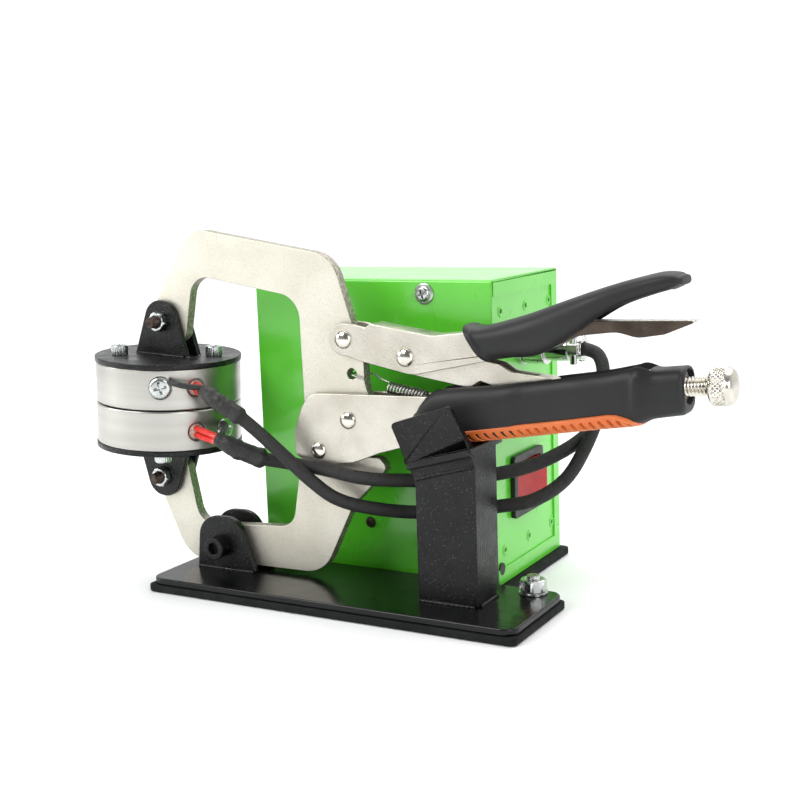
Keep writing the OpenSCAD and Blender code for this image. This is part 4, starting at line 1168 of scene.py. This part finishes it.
        hooks = [[(9.4, CY - 3.3, 93.6), (4.6, CY - 3.3, 94.9), (3.4, CY - 2.4, 95.3), (3.1, CY, 95.5),
                  (3.4, CY + 2.8, 95.6), (5, CY + 3.4, 95.7), (10.2, CY + 3.2, 95.1), (15, CY + 1.4, 93.4),
                  (19.6, CY - 0.2, 92.4)],
                 [(36.6, CY - 1.3, 86.2), (38.6, CY - 1.3, 87.2), (41, CY - 1.3, 86.8), (42.2, CY - 1.3, 85.6),
                  (41, CY - 1.3, 84.2)]]
        parts = [(aim(points, start, end - start), faces)]
        for hook in hooks:
            line = smooth_rows(hook, 6)
            parts.append(sweep(line, [0.4] * len(line), 8)[:2])
        whole = join(parts)
        made = piece("return_spring_wire", *whole, Look.SPRING_WIRE, 60)
        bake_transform(made)
        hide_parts("return_spring")


@dataclass
class AdjustingScrew:
    """Threaded adjusting screw with its knurled knob and its swivel tip."""

    radius: float = 3.7
    length: float = 51.0
    pitch: float = 1.25
    knob_r: float = 7.3
    knob: Pair = (0.8, 6.2)
    diamonds: int = 26

    def knurl(self, height: float) -> Callable[[float], float]:
        """Returns the knob's radius at a height, with crossing grooves."""
        def radius(a: float) -> float:
            """Radius at one angle."""
            lead = 2 * math.pi * height / (2 * math.pi * self.knob_r / self.diamonds)
            waves = [abs(((a * self.diamonds + s * lead) / (2 * math.pi)) % 1 - 0.5) * 2 for s in (-1, 1)]
            end = min(1.0, (height - self.knob[0]) / 0.8, (self.knob[1] - height) / 0.8)
            return self.knob_r - 0.1 - 0.42 * max(0.0, 1 - min(waves) * 1.6) * max(0.0, end)
        return radius

    def build(self) -> None:
        """Builds the screw, knob and tip."""
        tilt = math.radians(SCREW_TILT)
        axis = (math.cos(tilt), 0, math.sin(tilt))
        face = np.array((SCREW[0], CY, SCREW[1]))
        rod = thread(self.radius, self.length, self.pitch, 0.62)
        rows = 44
        span = [self.knob[0] + (self.knob[1] - self.knob[0]) * i / rows for i in range(rows + 1)]
        profile = [(self.radius * 0.9, -0.4), (self.knob_r - 1.2, -0.1), (self.knob_r - 0.5, 0.3)]
        profile += [(self.knurl(h), h) for h in span]
        profile += [(6.9, 6.5), (6.8, 6.8), (6.6, 7.1)]
        profile += [(6.5 * math.cos(math.radians(a)), 7.2 + 2.6 * math.sin(math.radians(a))) for a in range(10, 90, 10)]
        knob = turned(profile + [(0.05, 9.8)], 208)
        pin = turned([(2.0, -53.8), (2.0, -50.5)], 32)
        whole = join([put(rod, face - self.length * np.array(axis), axis), put(knob, face, axis), put(pin, face, axis)])
        fit(piece("knurled_screw", *whole, Look.BRIGHT_NICKEL, 50), "screw", "nickel", "adjust_screw")
        soften("screw_tip", "screw_slide", "nickel", Look.PRESSED_NICKEL, 0.3)


@dataclass
class MovingHalf:
    """Upper jaw, operating lever with its grip, toggle link and release lever."""

    chan_w: float = 11.0
    rivets: list[Pair] = field(default_factory=lambda: [(1.4, 110.0), (30.0, 103.7)])
    grip: Sleeve = field(default_factory=lambda: Sleeve([
        (56.2, 117.5, 66.2, 102.7, 9.6), (57.8, 117.6, 68.0, 102.5, 9.6), (59.6, 117.0, 70.2, 103.5, 9.2),
        (66.0, 117.4, 77.0, 104.7, 9.3), (82.0, 121.8, 89.0, 106.3, 9.3), (98.0, 127.4, 101.5, 113.9, 9.1),
        (108.0, 130.8, 110.0, 119.7, 8.9), (118.0, 133.9, 119.0, 124.9, 8.6), (128.0, 136.6, 129.0, 128.5, 8.3),
        (135.0, 138.1, 136.0, 130.6, 8.1), (139.8, 138.0, 140.6, 132.4, 7.6), (141.6, 137.2, 142.2, 133.4, 6.9)],
        square=2.7, cap=1.4))
    slot: list[Pair] = field(default_factory=lambda: [(40, 60), (40, 112.8), (56, 114.3), (66, 115.5), (95, 124.2),
                                                      (118, 131.7), (139.2, 135.1), (139.2, 60)])

    def build(self) -> None:
        """Builds the moving half of the clamp."""
        soften("upper_jaw", "upper_jaw", "nickel", Look.NICKEL_PLATE, 0.35)
        soften("lever", "lever", "nickel", Look.PRESSED_NICKEL, 0.45)
        soften("release_pin", "lever", "nickel", Look.BRIGHT_NICKEL, 0.2)
        soften("toggle_link", "link", "nickel", Look.PRESSED_NICKEL, 0.35)
        soften("release_lever", "release", "nickel", Look.RELEASE_STRIP, 0.3)
        cross_rivets("lever_rivet", self.rivets, self.chan_w, 3.9, 1.9, "lever", "lever_rivet", "link_rivet")
        points, faces = self.grip.shape()
        made = piece("upper_grip_moulding", points, faces, Look.GRIP, 50)
        carve(made, prism(self.slot, CY - 5.6, CY + 5.6))
        made.data.shade_smooth()
        made.data.set_sharp_from_angle(angle=math.radians(40))
        fit(made, "lever", "grip", "upper_grip")


@dataclass
class Platen:
    """One heated platen: block, flange with its clevis, fasteners, heater and probe."""

    half: str
    way: int
    probe_at: float
    screws_at: Pair
    radius: float = 32.0
    height: float = 17.5
    gap: float = 0.25
    flange: float = 2.4
    heater_at: float = -30.0
    heater_z: float = 9.6
    screw_r: float = 21.4
    probe_z: float = 10.2
    bolt_z: float = 35.2

    def spot(self, radius: float, degrees: float, height: float) -> np.ndarray:
        """Returns a point of the stack, from its radius, bearing and height above the gap, in millimetres."""
        a, t = math.radians(degrees), math.radians(STACK_TILT)
        x, y, z = radius * math.cos(a), radius * math.sin(a), height * self.way
        return np.array((STACK[0] + x * math.cos(t) + z * math.sin(t), CY + y,
                         STACK[1] - x * math.sin(t) + z * math.cos(t)))

    def out(self, degrees: float) -> np.ndarray:
        """Returns the outward direction of the stack at a bearing."""
        return self.spot(1, degrees, 0) - self.spot(0, 0, 0)

    def up(self) -> np.ndarray:
        """Returns the direction from the gap to this platen's flange."""
        return self.spot(0, 0, 1) - self.spot(0, 0, 0)

    def build(self) -> None:
        """Builds the platen."""
        body = f"{self.half}_platen"
        soften(f"{self.half}_platen", body, "aluminium", Look.ALUMINIUM, 0.4)
        soften(f"{self.half}_flange", body, "black_powder", Look.BLACK_POWDER, 0.45)
        nut = hex_nut(8.0, 3.6, 5.0)
        seat = self.spot(0, 0, self.bolt_z) + np.array((0, -5.2, 0))
        fit(piece(f"{self.half}_clevis_nut", *put(nut, seat, (0, -1, 0), 20), Look.ZINC), body, "zinc",
            f"{self.half}_nut")
        self.bolt(body)
        top = self.height + self.gap + self.flange
        spots = [Place(tuple(self.spot(self.screw_r, a, top)), tuple(self.up()), a) for a in self.screws_at]
        fit(scatter(f"{self.half}_cap_screws", cap_screw(7.4, 4.4, 3.4, 4.1, 6.5), spots, Look.ZINC, 30), body, "zinc",
            f"{self.half}_screws")
        head = pan_head(4.75, 1.5, 1.5)
        seat = self.spot(self.radius - 0.5, self.probe_at, self.probe_z)
        shank = turned([(1.5, -7), (1.5, 0)], 24)
        parts = join([put(head, seat, self.out(self.probe_at), 12),
                      put(shank, seat, self.out(self.probe_at))])
        fit(piece(f"{self.half}_probe_screw", *parts, Look.ZINC), body, "zinc", f"{self.half}_probe")
        self.heater(body)
        bars = []
        for y in (-3.95, 3.95):
            side = CY + y + math.copysign(1.3, y)
            line = [self.spot(0, 0, top + 0.1) + np.array((x, 0, 0)) for x in (-13, 0, 13)]
            bars.append([(p[0], side, p[2] - (p[0] - line[1][0]) * math.tan(math.radians(STACK_TILT))) for p in line])
        for i, line in enumerate(bars):
            fit(bead(f"{self.half}_clevis_weld_{i}", line, 0.75, Look.BLACK_POWDER), body, "black_powder")

    def bolt(self, body: str) -> None:
        """Builds the clevis bolt: a threaded end through the nut and a round head behind."""
        centre = self.spot(0, 0, self.bolt_z)
        rod = thread(2.5, 20.0, 0.8, 0.4)
        head = turned([(4.0, 0), (4.3, 0.3), (4.3, 3.6), (3.9, 4.1)], 48)
        parts = join([put(rod, centre + np.array((0, 7.2, 0)), (0, -1, 0)),
                      put(head, centre + np.array((0, 9.2, 0)), (0, -1, 0))])
        fit(piece(f"{self.half}_clevis_bolt", *parts, Look.BLACK_OXIDE, 60), body, "black_oxide",
            f"{self.half}_bolt")

    def heater(self, body: str) -> None:
        """Builds the heater cartridge: a thin steel case with a sunken ceramic end."""
        seat = self.spot(self.radius, self.heater_at, self.heater_z)
        out = self.out(self.heater_at)
        case = turned([(3.95, -47), (3.95, -0.6), (3.9, -0.35), (3.5, -0.35), (3.4, -0.6), (3.4, -2.2)], 48)
        core = turned([(3.45, -4), (3.45, -1.1), (3.2, -0.75), (1.9, -0.7), (0.05, -0.75)], 40)
        fit(piece(f"{self.half}_heater_case", *put(case, seat, out), Look.HEATER_CASE), body, "ceramic",
            f"{self.half}_heater")
        fit(piece(f"{self.half}_heater_core", *put(core, seat, out), Look.CERAMIC), body, "ceramic")


@dataclass
class Lead:
    """A heater lead: red wires into a shrink sleeve, then a braided cable to its plug.

    Shares hold the two bodies, and the first and last route point of each stretch.
    """

    half: str
    route: list[Triple]
    shares: list[tuple[str, str, int, int]]
    widest: float
    sleeve_end: int
    first: int
    cable_d: float = 5.6
    wire_r: float = 1.3
    probe_r: float = 1.25
    steps: int = 6
    sides: int = 24

    def radius(self, i: int) -> float:
        """Returns the radius at a ring: a sleeve that swells, then steps down to the cable."""
        if i > self.sleeve_end:
            return self.cable_d / 2
        run = (i - self.first) / (self.sleeve_end - self.first)
        swell = math.sin(min(1.0, 0.12 + run * 1.5) * math.pi / 2)
        collar = 0.45 if i >= self.sleeve_end - 1 else 0.0
        return 2.0 + (self.widest - 2.0) * swell - 0.7 * max(0.0, run - 0.55) + collar

    def build(self, platen: Platen) -> None:
        """Builds the lead in stretches, one for each share.

        Args:
            platen: The platen that it leaves.
        """
        path = smooth_rows(self.route, self.steps)
        points, _, run = sweep(path, [self.radius(i) for i in range(len(path))], self.sides)
        for i in range(self.first, self.sleeve_end - 1):
            fade = min(1.0, (self.sleeve_end - 1 - i) / 3)
            for k in range(i * self.sides, (i + 1) * self.sides):
                out = points[k] - path[i]
                lump = noise.noise(Vector(points[k]) * 0.42) * 0.22 + noise.noise(Vector(points[k]) * 1.1) * 0.1
                points[k] = path[i] + out * (1 + lump * fade)
        wires = self.wires(platen, path)
        for index, (first, second, start, end) in enumerate(self.shares):
            a, b = max(start * self.steps, self.first), end * self.steps
            self.stretch(f"{self.half}_lead_{index + 1}", path[a:b + 1], points[a * self.sides:(b + 1) * self.sides],
                         run[a:b + 1], a, wires if index == 0 else [])

    def stretch(self, name: str, path: np.ndarray, points: np.ndarray, run: np.ndarray,
                offset: int, wires: list[bpy.types.Object]) -> None:
        """Builds one stretch of the lead.

        Args:
            name: Name of the piece.
            path: Middle line of the stretch.
            points: Its ring points.
            run: Distance run at each ring.
            offset: Number of rings before it.
            wires: Pieces that go with it.
        """
        made = piece(name, points, ring_faces(len(path), self.sides), Look.BRAID, 60)
        made.data.materials.append(Look.SHRINK.value.make())
        layer = made.data.uv_layers.new(name="UVMap")
        girth = math.pi * self.cable_d * MM
        for face in made.data.polygons:
            spots = [(v % self.sides, v // self.sides) for v in face.vertices]
            wrap = len(spots) == 4 and max(s[0] for s in spots) - min(s[0] for s in spots) > 1
            for loop, (side, ring) in zip(face.loop_indices, spots):
                turn = (side + self.sides if wrap and side == 0 else side) / self.sides
                layer.data[loop].uv = (turn * girth, run[min(ring, len(run) - 1)] * MM)
            if min(s[1] for s in spots) + offset < self.sleeve_end:
                face.material_index = 1
        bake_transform(made)
        if wires:
            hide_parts(f"{self.half}_lead")

    def wires(self, platen: Platen, path: np.ndarray) -> list[bpy.types.Object]:
        """Builds the two red wires of the heater, and the thin probe wire in its own sleeve.

        Args:
            platen: The platen that they leave.
            path: Middle line of the lead.
        Returns:
            The three pieces.
        """
        hole = platen.spot(platen.radius, platen.heater_at, platen.heater_z)
        out = platen.out(platen.heater_at)
        enter, inside = path[self.first], path[self.first + 5]
        lines = []
        for s in (1, -1):
            lines.append([hole - out * 3 + (0, 0, 1.5 * s), hole + out * 1.5 + (0, 0, 1.5 * s),
                          (hole + enter) / 2 + out * 1.6 + (0, 0, 1.4 * s), enter + (0, 0, 1.1 * s),
                          inside + (0, 0, 0.8 * s)])
        side = 1 if self.half == "upper" else -1
        clip = platen.spot(platen.radius + 1.2, platen.probe_at + 7.5 * side, platen.probe_z + 3.6 * side)
        lift = platen.out(platen.probe_at + 14 * side)
        lines.append([clip, clip + lift * 1.8 + (1.2, 0.4, -1.0), (clip * 0.45 + enter * 0.55) + lift * 3.0,
                      enter + lift * 1.8 + (0, 0, 1.2), inside + (0, 0, 1.0)])
        made = []
        for i, line in enumerate(lines):
            spine = smooth_rows(line, 8)
            probe = i == 2
            radii = [min(self.probe_r, 0.35 + 0.3 * k) if probe else self.wire_r for k in range(len(spine))]
            tube = sweep(spine, radii, 14)[:2]
            look = Look.SHRINK if probe else Look.RED_WIRE
            made.append(fit(piece(f"{self.half}_wire_{i + 1}", *tube, look, 60), f"{self.half}_platen",
                            "lead_black"))
        return made


@dataclass
class Studio:
    """Camera, soft lights and a plain pale floor."""

    eye: Triple = (284.45, -492.47, 174.58)
    azimuth: float = 29.38
    elevation: float = 9.55
    roll: float = -1.92
    lens: float = 59.53

    def camera(self) -> None:
        """Makes the camera."""
        az, el, roll = (math.radians(v) for v in (self.azimuth, self.elevation, self.roll))
        back = Vector((math.sin(az) * math.cos(el), -math.cos(az) * math.cos(el), math.sin(el)))
        right = (-back).cross(Vector((0, 0, 1))).normalized()
        up = right.cross(-back)
        level = right * math.cos(roll) + up * math.sin(roll)
        rise = up * math.cos(roll) - right * math.sin(roll)
        data = bpy.data.cameras.new("camera")
        data.sensor_width = 36
        data.lens = self.lens
        made = bpy.data.objects.new("camera", data)
        bpy.context.scene.collection.objects.link(made)
        turn = Matrix((level, rise, back)).transposed().to_4x4()
        made.matrix_world = Matrix.Translation(Vector(self.eye) * MM) @ turn
        bpy.context.scene.camera = made

    def light(self, name: str, at: Triple, size: float, power: float) -> None:
        """Makes a soft square light that faces the press.

        Args:
            name: Name of the light.
            at: Its place, metres.
            size: Width, metres.
            power: Watts.
        """
        data = bpy.data.lights.new(name, "AREA")
        data.size = size
        data.energy = power
        made = bpy.data.objects.new(name, data)
        made.location = at
        made.rotation_euler = (Vector((0, 0, 0.08)) - Vector(at)).to_track_quat("-Z", "Y").to_euler()
        bpy.context.scene.collection.objects.link(made)

    def build(self) -> None:
        """Makes the studio."""
        scene = bpy.context.scene
        scene.view_settings.view_transform = "Standard"
        world = bpy.data.worlds.new("studio")
        world.use_nodes = True
        tree = world.node_tree
        sky = tree.nodes["Background"]
        sky.inputs[0].default_value = linear("#FAFBFB")
        around = add(tree, "ShaderNodeSeparateXYZ", {0: add(tree, "ShaderNodeTexCoord").outputs["Generated"]})
        wall = add(tree, "ShaderNodeMapRange", {0: around.outputs["Y"], 1: -0.5, 2: 0.45, 3: 0.22, 4: 1.08})
        tree.links.new(wall.outputs[0], sky.inputs[1])
        scene.world = world
        self.light("key", (-0.62, -1.0, 1.0), 0.75, 12)
        self.light("fill", (1.2, -0.75, 0.5), 0.7, 7)
        self.light("strip", (-0.95, -0.55, 0.35), 0.35, 3.5)
        sun = bpy.data.objects.new("back_sun", bpy.data.lights.new("back_sun", "SUN"))
        sun.data.energy = 2.1
        sun.data.angle = 1.2
        sun.rotation_euler = (math.radians(-24), 0, 0)
        scene.collection.objects.link(sun)
        floor = bpy.data.meshes.new("floor")
        s = 4.0
        floor.from_pydata([(-s, -s, 0), (s, -s, 0), (s, s, 0), (-s, s, 0)], [], [(0, 1, 2, 3)])
        ground = bpy.data.objects.new("floor", floor)
        ground.location = (0, 0, -0.0004)
        scene.collection.objects.link(ground)
        paper = bpy.data.materials.new("white_paper")
        paper.use_nodes = True
        shader = paper.node_tree.nodes["Principled BSDF"]
        shader.inputs["Base Color"].default_value = linear("#F2F3F3")
        shader.inputs["Roughness"].default_value = 0.9
        floor.materials.append(paper)


UPPER_ROUTE = [(-66.6, -46.6, 89.4), (-61, -50, 88.4), (-55, -52, 86.4), (-49, -52, 83), (-42, -50, 78),
               (-34, -47.6, 71), (-22, -44.8, 60), (-12, -42.6, 51), (-2, -40.4, 44.2), (10, -35, 40.2), (25, -24, 37),
               (44, -17.6, 37.8), (60, -14, 40.4), (74, -10, 43.5), (84.4, -3, 51), (90.4, 4, 63), (94, 12, 78),
               (93.6, 18, 91), (90, 21.4, 99.4), (81.9, 22, 102)]
LOWER_ROUTE = [(-67.8, -46.6, 70), (-62, -50, 69.2), (-56, -52, 68.6), (-50, -51.4, 66.8), (-43.6, -48, 63),
               (-36, -43.4, 59.2), (-26, -38.6, 57), (-7, -38.4, 55.4), (10, -37.8, 53.2), (26, -29.4, 51.8),
               (44, -19, 51.8), (60, -13, 54), (72, -6, 57), (82, 3, 62), (88.5, 12, 67.6), (89.5, 19, 72),
               (81.9, 22, 74)]


def build_leads(upper: Platen, lower: Platen) -> None:
    """Builds both leads.

    Args:
        upper: The upper platen.
        lower: The lower platen.
    """
    Lead("upper", UPPER_ROUTE, [("upper_platen", "upper_jaw", 0, 6), ("upper_jaw", "clamp", 6, 9),
                                ("clamp", "base", 9, 19)], 3.7, 24, 6).build(upper)
    Lead("lower", LOWER_ROUTE, [("lower_platen", "clamp", 0, 7), ("clamp", "base", 7, 16)], 4.2, 30, 15).build(lower)


def main() -> None:
    """Builds the press in order."""
    logging.basicConfig(level=logging.INFO, format="%(name)s: %(message)s")
    Studio().camera()
    Studio().build()
    upper = Platen("upper", 1, -58.0, (17.0, 223.0))
    lower = Platen("lower", -1, -3.0, (120.0, 300.0))
    build_leads(upper, lower)
    for part in (Base(), Box(), FixedHandle(), AdjustingScrew(), MovingHalf(), upper, lower):
        part.build()
        LOG.info("%s done", type(part).__name__)


if __name__ == "__main__":
    main()
